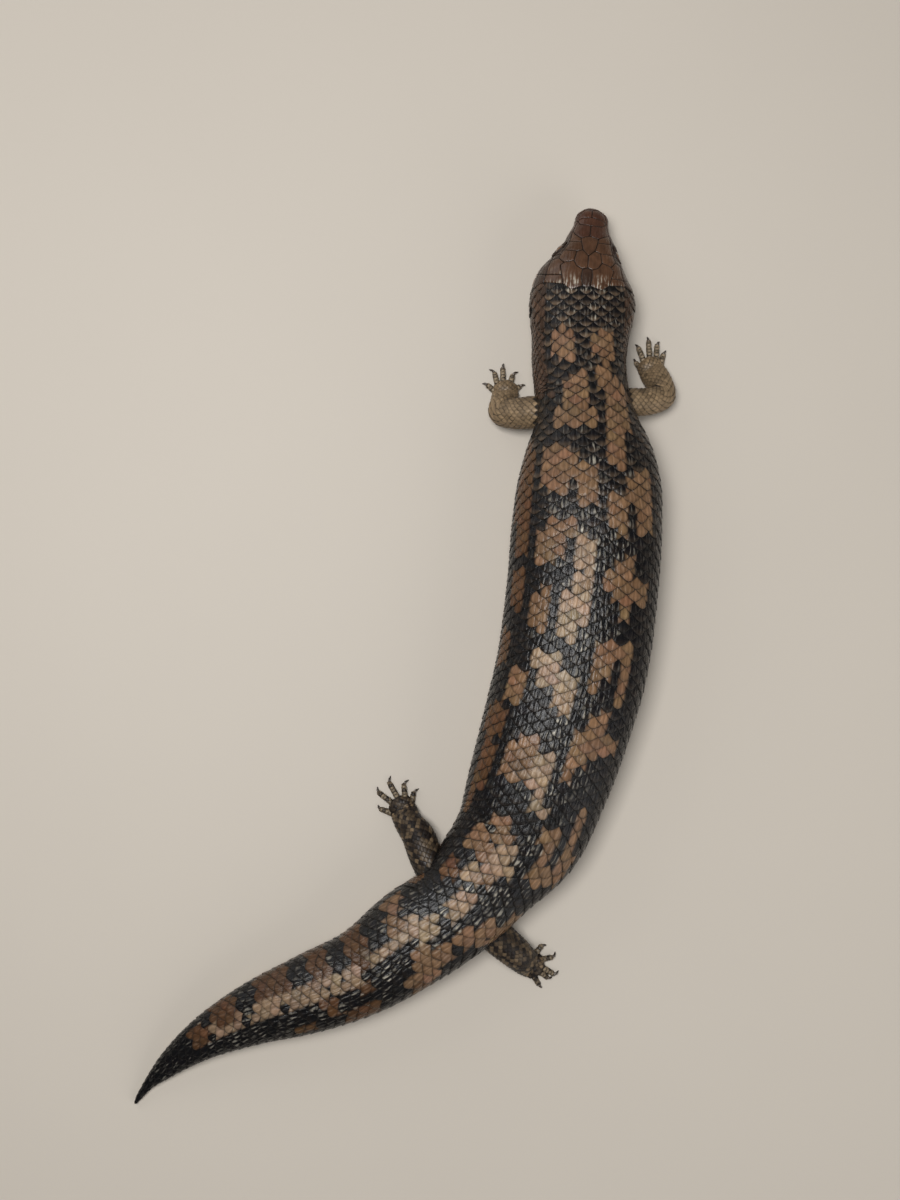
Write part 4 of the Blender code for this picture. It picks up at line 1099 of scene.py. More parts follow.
def start_material(
        name: str, constants: dict[str, float]) -> tuple[bpy.types.Material, Graph, bpy.types.Node]:
    """Return a new material, its graph and its shader, which takes the constants on its own sockets."""
    material = bpy.data.materials.new(name)
    material.use_nodes = True
    shader = material.node_tree.nodes["Principled BSDF"]
    for label, value in constants.items():
        shader.inputs[label].default_value = value
    return material, Graph(material.node_tree), shader


# Pale colour of the painted sheen: streaks that stand in for highlights.
PAINTED_SHEEN_COLOUR = (0.46, 0.42, 0.34, 1.0)
# Colour of the darkening at the seams: partly dark seams, partly painted shade.
SEAM_AND_SHADE_BLACK = (0.006, 0.005, 0.004, 1.0)


def scale_surface() -> bpy.types.NodeTree:
    """Return the shared surface of a scale: its mottling, streaks, dark edge with painted shade, painted
    sheen and fine relief.
    """
    name = "scale surface"
    if name in bpy.data.node_groups:
        return bpy.data.node_groups[name]
    tree = bpy.data.node_groups.new(name, "ShaderNodeTree")
    for label, kind in (("Hue", "Color"), ("Rim", "Float"), ("Wear", "Float"), ("Grain", "Vector"),
                        ("Place", "Vector"), ("Streaks", "Float"), ("Mottle", "Float"),
                        ("Rim Dark", "Float"), ("Gloss", "Float"), ("Relief", "Float")):
        tree.interface.new_socket(label, in_out="INPUT", socket_type=f"NodeSocket{kind}")
    for label, kind in (("Color", "Color"), ("Roughness", "Float"), ("Normal", "Vector")):
        tree.interface.new_socket(label, in_out="OUTPUT", socket_type=f"NodeSocket{kind}")
    graph = Graph(tree)
    given = graph.node("NodeGroupInput").outputs
    result = graph.node("NodeGroupOutput").inputs
    sway = graph.noise(given["Grain"], 0.9, 1.0)
    split = graph.node("ShaderNodeSeparateXYZ")
    graph.feed(split.inputs[0], given["Grain"])
    phase = graph.weigh((split.outputs["X"], 4.4), (sway, 9.0))
    wave = graph.weigh((graph.math("COSINE", phase), 0.5), (1.0, 0.5))
    squash = graph.node("ShaderNodeVectorMath", operation="MULTIPLY")
    graph.feed(squash.inputs[0], given["Grain"])
    squash.inputs[1].default_value = (1.0, 0.5, 1.0)
    loose = graph.noise(squash.outputs[0], 1.15, 1.5)
    streak = graph.weigh((wave, 0.45), (loose, 0.55))
    fine = graph.noise(squash.outputs[0], 4.0, 2.0)
    cloud = graph.noise(given["Place"], 420.0, 4.0)
    speck = graph.noise(given["Place"], 2600.0, 2.0)
    # The streak tint follows the bump, lighter on its ridges and darker in its grooves: partly grain, partly
    # painted highlight and shade.
    tint = graph.weigh((graph.math("SUBTRACT", streak, 0.5), given["Streaks"]),
                       (graph.math("SUBTRACT", cloud, 0.5), given["Mottle"]))
    light = graph.math("MAXIMUM", graph.weigh((tint, 2.0), (1.0, 1.0)), 0.15)
    shade = graph.node("ShaderNodeVectorMath", operation="SCALE")
    graph.feed(shade.inputs[0], given["Hue"])
    graph.feed(shade.inputs["Scale"], light)
    # Painted sheen: where the mesh asks for it, pale streaks on the bump's ridges stand in for highlights.
    ridges = graph.weigh((streak, 0.85), (fine, 0.15))
    lines = graph.math("MULTIPLY", graph.fade(ridges, 0.52, 0.72), graph.fade(cloud, 0.35, 0.6))
    sheen_mix = graph.mix(graph.math("MULTIPLY", lines, given["Wear"]), shade.outputs[0], PAINTED_SHEEN_COLOUR)
    # Darkening at and around each seam: partly dark seams, partly painted shade cast by the covering edge.
    near = graph.math("SUBTRACT", 1.0, graph.fade(given["Rim"], -0.05, 0.22))
    around = graph.math("SUBTRACT", 1.0, graph.fade(given["Rim"], 0.0, 1.1))
    shadow = graph.math("MULTIPLY", graph.math("MAXIMUM", near, graph.math("MULTIPLY", around, 0.42)),
                        given["Rim Dark"])
    graph.feed(result["Color"], graph.mix(shadow, sheen_mix, SEAM_AND_SHADE_BLACK))
    graph.feed(result["Roughness"], graph.weigh((given["Gloss"], 1.0), (streak, 0.16), (near, 0.25)))
    height = graph.weigh((streak, 1.0), (fine, 0.35), (speck, 0.25))
    graph.feed(result["Normal"], graph.bump(height, given["Relief"], 0.0004))
    return tree


@dataclass(frozen=True)
class ScaleFinish:
    """A finish of scales or plates, which take their colours from the mesh."""

    name: str
    gloss: float
    streaks: float
    mottle: float
    # How dark the seams get: partly dark seams, partly painted shade.
    rim_dark: float
    relief: float
    specular: float
    coat: float

    def make(self) -> bpy.types.Material:
        """Return the finish's material."""
        constants = {"Specular IOR Level": self.specular, "Coat Weight": self.coat, "Coat Roughness": 0.22}
        material, graph, shader = start_material(self.name, constants)
        surface = graph.node("ShaderNodeGroup", node_tree=scale_surface())
        for label, source in (("Hue", graph.attribute("Hue", "Color")),
                              ("Rim", graph.attribute("Rim", "Fac")),
                              ("Wear", graph.attribute("Wear", "Fac")),
                              ("Grain", graph.attribute("Grain", "Vector")), ("Place", graph.place()),
                              ("Streaks", self.streaks), ("Mottle", self.mottle), ("Rim Dark", self.rim_dark),
                              ("Gloss", self.gloss), ("Relief", self.relief)):
            graph.feed(surface.inputs[label], source)
        for target, source in (("Base Color", "Color"), ("Roughness", "Roughness"), ("Normal", "Normal")):
            graph.feed(shader.inputs[target], surface.outputs[source])
        return material


SCALES = ScaleFinish("body scales", 0.16, 0.36, 0.30, 0.90, 0.60, 0.20, 0.0)
SHIELDS = ScaleFinish("head shields", 0.17, 0.10, 0.60, 0.85, 0.22, 0.34, 0.0)
SMALL_SCALES = ScaleFinish("leg scales", 0.30, 0.15, 0.50, 0.95, 0.20, 0.22, 0.0)
LIDS = ScaleFinish("lids", 0.36, 0.10, 0.40, 0.60, 0.20, 0.25, 0.0)


def skin_material() -> bpy.types.Material:
    """Return the bare skin between the scales: dark, matt and finely wrinkled, with painted shade in the
    wrinkles' hollows.
    """
    material, graph, shader = start_material("skin", {"Roughness": 0.62})
    wrinkle = graph.noise(graph.place(), 1500.0, 4.0)
    # The colour darkens where the wrinkles' bump is low: painted shade in the hollows.
    fold = graph.mix(graph.fade(wrinkle, 0.35, 0.65), (0.012, 0.010, 0.009, 1.0),
                     graph.attribute("Hue", "Color"))
    graph.feed(shader.inputs["Base Color"], fold)
    graph.feed(shader.inputs["Normal"], graph.bump(wrinkle, 0.5, 0.0003))
    return material


def eye_material(pupil: float = 1.0, iris: float = 2.05) -> bpy.types.Material:
    """Return a dark brown eye with a black round pupil under a clear wet surface.

    Args:
        pupil: the pupil's radius.
        iris: the iris's radius.
    """
    constants = {"Roughness": 0.12, "Coat Weight": 1.0, "Coat Roughness": 0.03}
    material, graph, shader = start_material("eye", constants)
    split, spokes = graph.node("ShaderNodeSeparateXYZ"), graph.node("ShaderNodeCombineXYZ")
    graph.feed(split.inputs[0], graph.attribute("Grain", "Vector"))
    radius, turn = split.outputs["X"], split.outputs["Y"]
    graph.feed(spokes.inputs["X"], graph.math("MULTIPLY", turn, 6.0))
    graph.feed(spokes.inputs["Y"], graph.math("MULTIPLY", radius, 0.8))
    fibres = graph.noise(spokes.outputs[0], 2.2, 4.0)
    ring = graph.mix(graph.fade(fibres, 0.35, 0.7), (0.055, 0.022, 0.008, 1.0), (0.26, 0.11, 0.035, 1.0))
    ring = graph.mix(graph.fade(radius, iris - 0.35, iris), ring, (0.010, 0.006, 0.004, 1.0))
    hole = graph.fade(radius, pupil - 0.06, pupil + 0.06)
    graph.feed(shader.inputs["Base Color"], graph.mix(hole, (0.002, 0.002, 0.002, 1.0), ring))
    return material


def claw_material() -> bpy.types.Material:
    """Return brown horn, paler at the claw's root."""
    material, graph, shader = start_material("claw horn", {"Roughness": 0.28, "Coat Weight": 0.3})
    cloud = graph.noise(graph.place(), 1800.0, 3.0)
    share = graph.weigh((graph.attribute("Rim", "Fac"), 1.0), (graph.math("SUBTRACT", cloud, 0.5), 0.5))
    graph.feed(shader.inputs["Base Color"], graph.mix(graph.fade(share, 0.0, 0.6), (0.075, 0.048, 0.028, 1.0),
                                                      (0.016, 0.011, 0.008, 1.0)))
    return material


def close(bm: bmesh.types.BMesh) -> None:
    """Weld a mesh along its seam, fill its open ends and turn its faces outward."""
    bmesh.ops.remove_doubles(bm, verts=bm.verts, dist=WELD)
    bmesh.ops.holes_fill(bm, edges=[e for e in bm.edges if e.is_boundary], sides=0)
    bmesh.ops.recalc_face_normals(bm, faces=bm.faces)


def close_mesh(mesh: bpy.types.Mesh) -> None:
    """Close a mesh that carries values already, and shade it smooth."""
    bm = bmesh.new()
    bm.from_mesh(mesh)
    close(bm)
    bm.to_mesh(mesh)
    bm.free()
    mesh.shade_smooth()


def bent_grid(bm: bmesh.types.BMesh, columns: int, rows: int, bend: Bend) -> None:
    """Add a grid that is bent into a form.

    Args:
        bm: the mesh that takes it.
        columns: its facets from side to side.
        rows: its facets along.
        bend: gives points in millimetres for shares across and along, from 0 to 1.
    """
    made = bmesh.ops.create_grid(bm, x_segments=columns, y_segments=rows, size=0.5)["verts"]
    grid = np.array([vertex.co[:] for vertex in made]) + 0.5
    for vertex, point in zip(made, bend(grid[:, 0], grid[:, 1]) * MM):
        vertex.co = point


def shell(chart: Chart, lift: float, rows: np.ndarray, sides: int) -> bmesh.types.BMesh:
    """Return a closed surface that follows a chart.

    Args:
        chart: the surface that is followed.
        lift: how far outside it the shell lies.
        rows: places of the rings along it.
        sides: facets round it.
    """
    def bend(across: np.ndarray, along: np.ndarray) -> np.ndarray:
        """Return the shell's points, by shares of its girth and of its rows."""
        s = rows[(along * (len(rows) - 1)).round().astype(int)]
        left, right = chart.girths(s)
        share = across * 2 - 1
        spots, normals = chart.spots(s, np.where(share < 0, share * left, share * right))
        return spots + normals * lift

    bm = bmesh.new()
    bent_grid(bm, sides, len(rows) - 1, bend)
    close(bm)
    return bm


def mesh_from(bm: bmesh.types.BMesh, name: str) -> bpy.types.Mesh:
    """Return a mesh of what was modelled, and free it."""
    mesh = bpy.data.meshes.new(name)
    bm.to_mesh(mesh)
    bm.free()
    return mesh


def set_values(mesh: bpy.types.Mesh, hue: np.ndarray | None = None, rim: np.ndarray | None = None,
               painted_sheen: np.ndarray | None = None, grain: np.ndarray | None = None) -> None:
    """Give a mesh's points the values that its finish reads."""
    if hue is not None:
        colours = np.concatenate((hue, np.ones((len(hue), 1))), axis=1)
        mesh.attributes.new("Hue", "FLOAT_COLOR", "POINT").data.foreach_set("color", colours.ravel())
    for name, values in (("Rim", rim), ("Wear", painted_sheen)):
        if values is not None:
            mesh.attributes.new(name, "FLOAT", "POINT").data.foreach_set("value", values)
    if grain is not None:
        mesh.attributes.new("Grain", "FLOAT_VECTOR", "POINT").data.foreach_set("vector", grain.ravel())


def mesh_points(mesh: bpy.types.Mesh) -> np.ndarray:
    """Return a mesh's points in millimetres."""
    points = np.empty(len(mesh.vertices) * 3)
    mesh.vertices.foreach_get("co", points)
    return points.reshape(-1, 3) / MM


def boolean(item: bpy.types.Object, others: list[bpy.types.Object], operation: str) -> None:
    """Join closed objects to an object, or cut them from it, and remove them."""
    group = bpy.data.collections.new("joining")
    bpy.context.scene.collection.children.link(group)
    for other in others:
        group.objects.link(other)
    modifier = item.modifiers.new("boolean", "BOOLEAN")
    modifier.operation = operation
    modifier.operand_type = "COLLECTION"
    modifier.collection = group
    modifier.solver = "MANIFOLD"
    bpy.context.view_layer.update()
    graph = bpy.context.evaluated_depsgraph_get()
    result = bpy.data.meshes.new_from_object(item.evaluated_get(graph))
    item.modifiers.clear()
    item.data = result
    for other in others:
        bpy.data.objects.remove(other, do_unlink=True)
    bpy.data.collections.remove(group)


def loose_object(mesh: bpy.types.Mesh, link: bool = False) -> bpy.types.Object:
    """Return an object that only helps to shape another."""
    item = bpy.data.objects.new(mesh.name, mesh)
    if link:
        bpy.context.scene.collection.objects.link(item)
    return item


def ball(name: str, centre: np.ndarray, radius: float, segments: int, rings: int) -> bpy.types.Object:
    """Return a ball, given in millimetres, that is cut from the skin."""
    bm = bmesh.new()
    bmesh.ops.create_uvsphere(bm, u_segments=segments, v_segments=rings, radius=radius * MM)
    bmesh.ops.translate(bm, vec=Vector(centre * MM), verts=bm.verts)
    return loose_object(mesh_from(bm, name))


FLESH = ("head", "neck", "torso_front", "torso_middle", "torso_rear", "hips", "tail_base", "tail_middle",
         "tail_tip", "foreleg_left", "foreleg_right", "forefoot_left", "forefoot_right", "hindleg_left",
         "hindleg_right", "hindfoot_left", "hindfoot_right")


@dataclass
class Eye:
    """An eyeball and its lids, set in the cheek."""

    body: BodyChart
    side: int
    back: float = 19.0
    height: float = 18.8
    radius: float = 3.1
    bulge: float = 0.75
    opening: tuple[float, float] = (2.75, 2.0)
    lid: float = 0.66
    lid_facets: tuple[int, int] = (168, 22)

    def spot(self, s: np.ndarray, height: np.ndarray) -> tuple[np.ndarray, np.ndarray]:
        """Return points of the cheek and its outward unit vectors."""
        return self.body.spots(s, self.body.from_side(s, height, self.side))

    def middle(self) -> tuple[np.ndarray, np.ndarray]:
        """Return the middle of the opening and the unit vector that the eye looks along."""
        spots, normals = self.spot(np.array([self.back]), np.array([self.height]))
        return spots[0], normals[0]

    def centre(self) -> np.ndarray:
        """Return the middle of the eyeball."""
        middle, axis = self.middle()
        return middle - axis * (self.radius - self.bulge)

    def socket(self) -> bpy.types.Object:
        """Return the ball that is cut from the skin for the eye."""
        return ball("socket", self.centre(), self.radius + 0.25, 32, 20)

    def build_ball(self, name: str, material: bpy.types.Material) -> bpy.types.Object:
        """Make the eyeball, slightly fuller over the iris."""
        bm = bmesh.new()
        bmesh.ops.create_uvsphere(bm, u_segments=56, v_segments=36, radius=self.radius * MM)
        centre, axis = self.centre(), self.middle()[1]
        turn = Vector(axis).to_track_quat("Z", "Y").to_matrix().to_4x4()
        bmesh.ops.transform(bm, matrix=Matrix.Translation(Vector(centre * MM)) @ turn, verts=bm.verts)
        mesh = mesh_from(bm, name)
        offset = mesh_points(mesh) - centre
        up = unit(np.array([0.0, 0.0, 1.0]) - axis * axis[2])
        aside = np.cross(axis, up)
        angle = np.arccos(np.clip(unit(offset) @ axis, -1.0, 1.0))
        around = np.arctan2(offset @ aside, offset @ up)
        fuller = offset * (1 + 0.03 * np.exp(-(angle / 0.5) ** 2))[:, None] + centre
        mesh.vertices.foreach_set("co", (fuller * MM).ravel())
        set_values(mesh, grain=np.stack((angle * self.radius, np.abs(around), 0 * angle), axis=1))
        mesh.shade_smooth()
        return place_object(mesh, name, material)

    def build_lids(self, name: str, material: bpy.types.Material) -> bpy.types.Object:
        """Make the rim of the lids with its rows of beads."""
        values: list[np.ndarray] = []

        def bend(across: np.ndarray, along: np.ndarray) -> np.ndarray:
            """Return the lids' points, by turns round the opening and round their own thickness."""
            turn, phi = across * 2 * math.pi, along * 2 * math.pi
            length, height = self.opening
            flat = np.abs(np.sin(turn)) ** 1.25 * np.sign(np.sin(turn))
            spot, _ = self.spot(self.back - np.cos(turn) * length, self.height + flat * height)
            middle, axis = self.middle()
            row = np.floor(phi / (2 * math.pi) * 7)
            bead = np.abs(np.sin(phi * 3.5)) ** 0.5 * np.abs(np.sin(turn * 13 + row * 1.57)) ** 0.4
            size = self.lid * (1.0 + 0.10 * (bead - 0.6))
            values.extend((bead, np.stack((turn * 3, phi, 0 * phi), axis=1)))
            return (spot + unit(spot - middle) * ((np.cos(phi) + 0.35) * size)[:, None]
                    + axis * ((np.sin(phi) * 0.72 - 0.05) * size)[:, None])

        bm = bmesh.new()
        bent_grid(bm, *self.lid_facets, bend)
        mesh = mesh_from(bm, name)
        bead, grain = values
        # Colour and seam darkening follow the beads' relief, lighter on their tops and darker in the grooves:
        # painted light and shade.
        hue = linear(Tone.SHIELD_DARK.value) * (0.35 + 0.75 * bead[:, None])
        set_values(mesh, hue, bead * 0.5, 0 * bead, grain)
        close_mesh(mesh)
        return place_object(mesh, name, material)


@dataclass
class Skin:
    """The one skin under all the scales, from snout to tail and toes, with its sockets and ears."""

    body: BodyChart
    legs: dict[str, TubeChart]
    toes: list[TubeChart]
    eyes: list[Eye]
    markings: Markings
    ear: tuple[float, float] = (42.6, 16.0)
    ear_size: tuple[float, float, float] = (1.9, 1.5, 2.7)
    sides: int = 96

    def ear_cutter(self, side: int) -> bpy.types.Object:
        """Return the rounded form that is cut from the skin for an ear."""
        s = np.array([self.ear[0]])
        spot, normal = self.body.spots(s, self.body.from_side(s, np.array([self.ear[1]]), side))
        bm = bmesh.new()
        bmesh.ops.create_uvsphere(bm, u_segments=24, v_segments=16, radius=MM)
        bmesh.ops.scale(bm, vec=self.ear_size, verts=bm.verts)
        turn = Matrix.Rotation(math.atan2(normal[0, 1], normal[0, 0]), 4, "Z")
        bmesh.ops.transform(bm, matrix=Matrix.Translation(Vector(spot[0] * MM)) @ turn, verts=bm.verts)
        return loose_object(mesh_from(bm, "ear"))

    def build(self, material: bpy.types.Material, pits: list[bpy.types.Object]) -> bpy.types.Object:
        """Make the skin's object, with the nostrils' pits cut into it."""
        rows = self.body.ring_places(14, np.arange(6.4, 50.0, 0.8), np.arange(50.0, 445.0, 2.0))
        item = loose_object(mesh_from(shell(self.body, -SKIN_DEPTH, rows, self.sides), "skin"), link=True)
        pieces = []
        for chart in self.legs.values():
            rows = np.arange(0.0, chart.length + 0.4, 0.8).clip(max=chart.length)
            pieces.append(loose_object(mesh_from(shell(chart, -0.35, np.unique(rows), 40), "leg")))
        for chart in self.toes:
            rows = np.unique(np.arange(0.0, chart.length + 0.3, 0.6).clip(max=chart.length))
            pieces.append(loose_object(mesh_from(shell(chart, -0.22, rows, 16), "toe")))
        boolean(item, pieces, "UNION")
        sockets = [eye.socket() for eye in self.eyes]
        boolean(item, sockets + [self.ear_cutter(side) for _, side in SIDES] + pits, "DIFFERENCE")
        mesh = item.data
        points = mesh_points(mesh)
        s, a, out = self.body.locate(points)
        hue = self.markings.tones(s, a, SKIN_SEED) * 0.35
        for chart in self.legs.values():
            hue[(out > 1.0) & (chart.depth(points) < 1.3)] = linear(Tone.LEG_DARK.value) * 0.6
        set_values(mesh, hue)
        mesh.shade_smooth()
        bpy.data.objects.remove(item, do_unlink=True)
        return place_object(mesh, "skin", material)


class Seen(Enum):
    """The side from which a plate's corners are given, and what the second number is."""

    ABOVE = "above: distance across"
    SIDE = "side: height"
    FRONT = "front: both across the front"
    BELOW = "below: distance across"


@dataclass(frozen=True)
class Shield:
    """One plate of the head, in a pair or alone on the middle line, by the names of its corners."""

    corners: str
    tone: Tone = Tone.SHIELD
    paired: bool = True
    # Strength of the plate's painted sheen: pale streaks that stand in for highlights.
    painted_sheen: float = 0.0
    thick: float = 0.50
    corner: float = 0.35


HEAD_POINTS = {
    Seen.ABOVE: {
        "b": (4.9, 0), "b2": (5.6, 3.9), "c": (8.6, 0), "c2": (8.3, 4.6), "d": (13.4, 0),
        "d1": (14.5, 3.5), "d2": (12.6, 6.2), "i1": (16.1, 3.3), "k1": (19.8, 2.4), "k2": (20.6, 4.7),
        "e": (22.2, 0), "k3": (24.6, 5.6), "j2": (25.6, 9.4), "m1": (26.8, 4.4), "m2": (27.9, 1.9),
        "f": (27.2, 0), "n1": (31.0, 2.2), "n2": (34.6, 1.6), "g": (35.4, 0), "p1": (26.9, 10.7),
        "p2": (30.6, 9.9), "p3": (34.0, 9.2), "p4": (36.2, 6.0)},
    Seen.FRONT: {
        "f1": (3.9, 12.9), "f2": (2.3, 15.4), "f3": (3.0, 10.42), "f4": (0, 16.3), "f5": (3.1, 10.12),
        "f6": (2.6, 7.9), "f7": (0, 7.2)},
    Seen.SIDE: {
        "N1": (3.6, 16.3), "N2": (6.6, 17.0), "N3": (6.8, 13.45), "M2": (9.8, 17.9), "M3": (9.9, 13.75),
        "d3": (11.4, 18.8), "h1": (13.7, 20.5), "G2": (13.4, 17.3), "G3": (13.5, 14.1), "h2": (15.9, 21.7),
        "h23": (18.0, 22.9), "h3": (20.2, 23.7), "h34": (21.8, 24.2), "h4": (23.4, 24.8),
        "La": (15.2, 14.3), "Lb": (17.2, 14.45), "Lc": (19.2, 14.6), "Ld": (21.2, 14.8),
        "Le": (23.0, 15.0), "u1": (24.9, 15.15), "u2": (29.4, 15.6), "u3": (33.4, 16.7),
        "t0": (24.3, 22.6), "t1": (25.2, 20.2), "t2": (24.6, 18.3), "q1": (25.6, 23.4), "q2": (30.4, 25.2),
        "q3": (33.2, 25.4), "r2": (29.6, 20.2), "r3": (34.8, 20.6), "E0": (15.4, 18.8), "E1": (15.9, 20.3),
        "E2": (17.2, 21.35), "E3": (19.0, 21.75), "E4": (20.8, 21.35), "E5": (22.1, 20.3),
        "E6": (22.6, 18.8), "E7": (22.1, 17.3), "E8": (20.8, 16.25), "E9": (19.0, 15.85),
        "E10": (17.2, 16.25), "E11": (15.9, 17.3)},
    Seen.BELOW: {
        "v1": (3.0, 0), "v2": (2.8, 3.2), "v3": (6.6, 3.9), "v4": (7.3, 0), "v5": (11.2, 5.2),
        "v6": (12.4, 0), "v7": (16.0, 6.6), "v8": (17.4, 0)},
}
SHIELDS_OF_HEAD = (
    Shield("f4 f2 N1 N2 b2 b", Tone.SNOUT), Shield("b b2 N2 c2 c", Tone.SNOUT, False),
    Shield("c c2 N2 M2 d3 d2 d1 d", Tone.SNOUT), Shield("d d1 i1 k1 e", paired=False),
    Shield("d1 d2 d3 h1 h2 i1"), Shield("i1 h2 h23 h3 k2 k1"), Shield("k2 h3 h34 h4 j2 k3"),
    # The plates at the rear of the head's roof carry painted sheen: pale streaks that stand in for
    # highlights.
    Shield("e k1 k2 k3 m1 m2 f"), Shield("f m2 n1 n2 g", Tone.SHIELD_DARK, False, 0.8),
    Shield("m2 m1 k3 j2 p1 p2 p3 p4 n2 n1", painted_sheen=0.9), Shield("j2 h4 t0 q1 q2 p2 p1", painted_sheen=0.2),
    Shield("p2 q2 q3 p3", painted_sheen=0.6),
    Shield("N2 N3 M3 M2", Tone.SNOUT), Shield("M2 M3 G3 G2 d3", Tone.SNOUT),
    Shield("d3 G2 E0 E1 h1", Tone.SHIELD_DARK), Shield("G2 G3 La E11 E0", Tone.SHIELD_DARK),
    Shield("t0 t1 r2 q2 q1", Tone.SHIELD_DARK), Shield("q2 r2 r3 q3", Tone.SHIELD_DARK),
    Shield("t1 t2 u1 u2 r2", Tone.SHIELD_DARK), Shield("r2 u2 u3 r3", Tone.SHIELD_DARK),
    Shield("E5 E6 t2 t1 t0", Tone.SHIELD_DARK), Shield("E6 E7 Le u1 t2", Tone.SHIELD_DARK),
    *(Shield(corners, Tone.SHIELD_DARK, thick=0.42, corner=0.22) for corners in
      ("h1 E1 E2 h2", "h2 E2 E3 h23", "h23 E3 E4 h3", "h3 E4 E5 h34", "h34 E5 t0 h4",
       "E11 La Lb E10", "E10 Lb Lc E9", "E9 Lc Ld E8", "E8 Ld Le E7")),
    Shield("f4 f2 f1 f3", Tone.SNOUT, False), Shield("f5 f6 f7", Tone.CREAM, False),
    Shield("v1 v2 v3 v4", Tone.CREAM), Shield("v4 v3 v5 v6", Tone.CREAM), Shield("v6 v5 v7 v8", Tone.CREAM),
)


def mouth_height(s: np.ndarray) -> np.ndarray:
    """Return the height of the mouth line at distances behind the snout."""
    return 10.2 + 0.05 * s + 0.022 * np.maximum(s - 26, 0.0) ** 2


@dataclass
class Head:
    """The head's plates: its roof and cheeks, those round the eyes, the lips and the chin."""

    body: BodyChart
    nostril: tuple[float, float] = (4.3, 14.0)
    upper_lips: tuple[float, ...] = (0.7, 2.9, 5.2, 7.7, 10.4, 13.3, 16.5, 19.8, 23.2, 26.6, 29.8, 32.8)
    lower_lips: tuple[float, ...] = (0.7, 3.4, 6.6, 10.0, 13.6, 17.2, 20.8, 24.4, 28.0, 31.2)
    upper_depths: tuple[tuple[float, float], ...] = ((0, 2.3), (6, 2.6), (14, 3.0), (19, 3.15), (24, 3.45),
                                                     (33, 3.3))
    lower_depths: tuple[tuple[float, float], ...] = ((0, 2.2), (6, 2.5), (14, 2.9), (33, 3.2))
    mouth_gap: float = 0.13
    thick: float = 0.50
    reach: tuple[float, float] = (0.0, 60.0)

    def corner(self, setter: PlateSetter, name: str, side: int) -> tuple[float, float]:
        """Return the flat place of a named corner on one side."""
        seen = next(seen for seen in Seen if name in HEAD_POINTS.get(seen, {}))
        first, second = HEAD_POINTS[seen][name]
        s, height = np.array([float(first)]), np.array([float(second)])
        if seen is Seen.FRONT:
            s, a = self.body.from_front(s * side, height)
        elif seen is Seen.SIDE:
            a = self.body.from_side(s, height, side)
        else:
            a = self.body.from_roof(s, height * side, under=seen is Seen.BELOW)
        return tuple(setter.unroll(s, a)[0])

    def lay_shield(self, setter: PlateSetter, shield: Shield) -> None:
        """Add one plate of the table, on both sides where it is paired."""
        names = shield.corners.split()
        front = all(name in HEAD_POINTS[Seen.FRONT] for name in names)
        for side in (1, -1) if shield.paired else (1,):
            if front:
                right = [HEAD_POINTS[Seen.FRONT][name] for name in names]
                line = right + [(-across, height) for across, height in reversed(right) if across > 0]
            else:
                line = [self.corner(setter, name, side) for name in names]
                if not shield.paired:
                    middle = [min(HEAD_POINTS[seen][name][1] for seen in Seen if name in HEAD_POINTS[seen])
                              for name in names]
                    line += [self.corner(setter, name, -1)
                             for name, across in reversed(list(zip(names, middle))) if across > 0]
            setter.lay(dense(np.array(line)), linear(shield.tone.value), shield.thick, front=front,
                       corner=shield.corner, painted_sheen=shield.painted_sheen)

    def lay_lips(self, setter: PlateSetter, side: int) -> None:
        """Add the rows of plates over and under the mouth line."""
        cream, lip, snout = (linear(tone.value) for tone in (Tone.CREAM, Tone.LIP, Tone.SNOUT))
        for edges, depths, turn, lean in ((self.upper_lips, self.upper_depths, 1, 0.25),
                                          (self.lower_lips, self.lower_depths, -1, 0.45)):
            for start, end in zip(edges, edges[1:]):
                s = np.linspace(start, end, 7)
                line = mouth_height(s) + turn * self.mouth_gap
                depth = turn * np.interp(s, *np.array(depths).T)
                corners = np.concatenate((np.stack((s, line), axis=1),
                                          np.stack((s + lean, line + depth), axis=1)[::-1]))
                hue = snout + (lip - snout) * np.clip((start - 4) / 8, 0, 1) if turn > 0 else cream * 0.8
                setter.lay(setter.side(tuple(map(tuple, corners)), side), hue, self.thick,
                           edge=(linear(Tone.SHIELD_DARK.value), 0.6))

    def lay_nasal(self, setter: PlateSetter, side: int) -> None:
        """Add the plate that holds the nostril."""
        hub = setter.side((self.nostril,), side)[0]
        corners = [self.corner(setter, name, side) for name in ("f2", "f1", "N3", "N2", "N1")]
        setter.lay(dense(np.array(corners)), linear(Tone.SNOUT.value), self.thick, NOSTRIL, hub)

    def nostril_pit(self, side: int) -> bpy.types.Object:
        """Return the ball that is cut from the skin for a nostril."""
        s = np.array([self.nostril[0]])
        spot, normal = self.body.spots(s, self.body.from_side(s, np.array([self.nostril[1]]), side))
        return ball("nostril", spot[0] - normal[0] * 0.9, 1.4, 20, 12)

    def build(self, material: bpy.types.Material) -> tuple[bpy.types.Object, PlateSetter]:
        """Make the plates' object, and return what knows the ground that they cover."""
        coat = Coat("head_plates")
        setter = PlateSetter(self.body, coat, self.reach, PLATE_SEED)
        for shield in SHIELDS_OF_HEAD:
            self.lay_shield(setter, shield)
        for _, side in SIDES:
            self.lay_nasal(setter, side)
            self.lay_lips(setter, side)
        return coat.build(material), setter


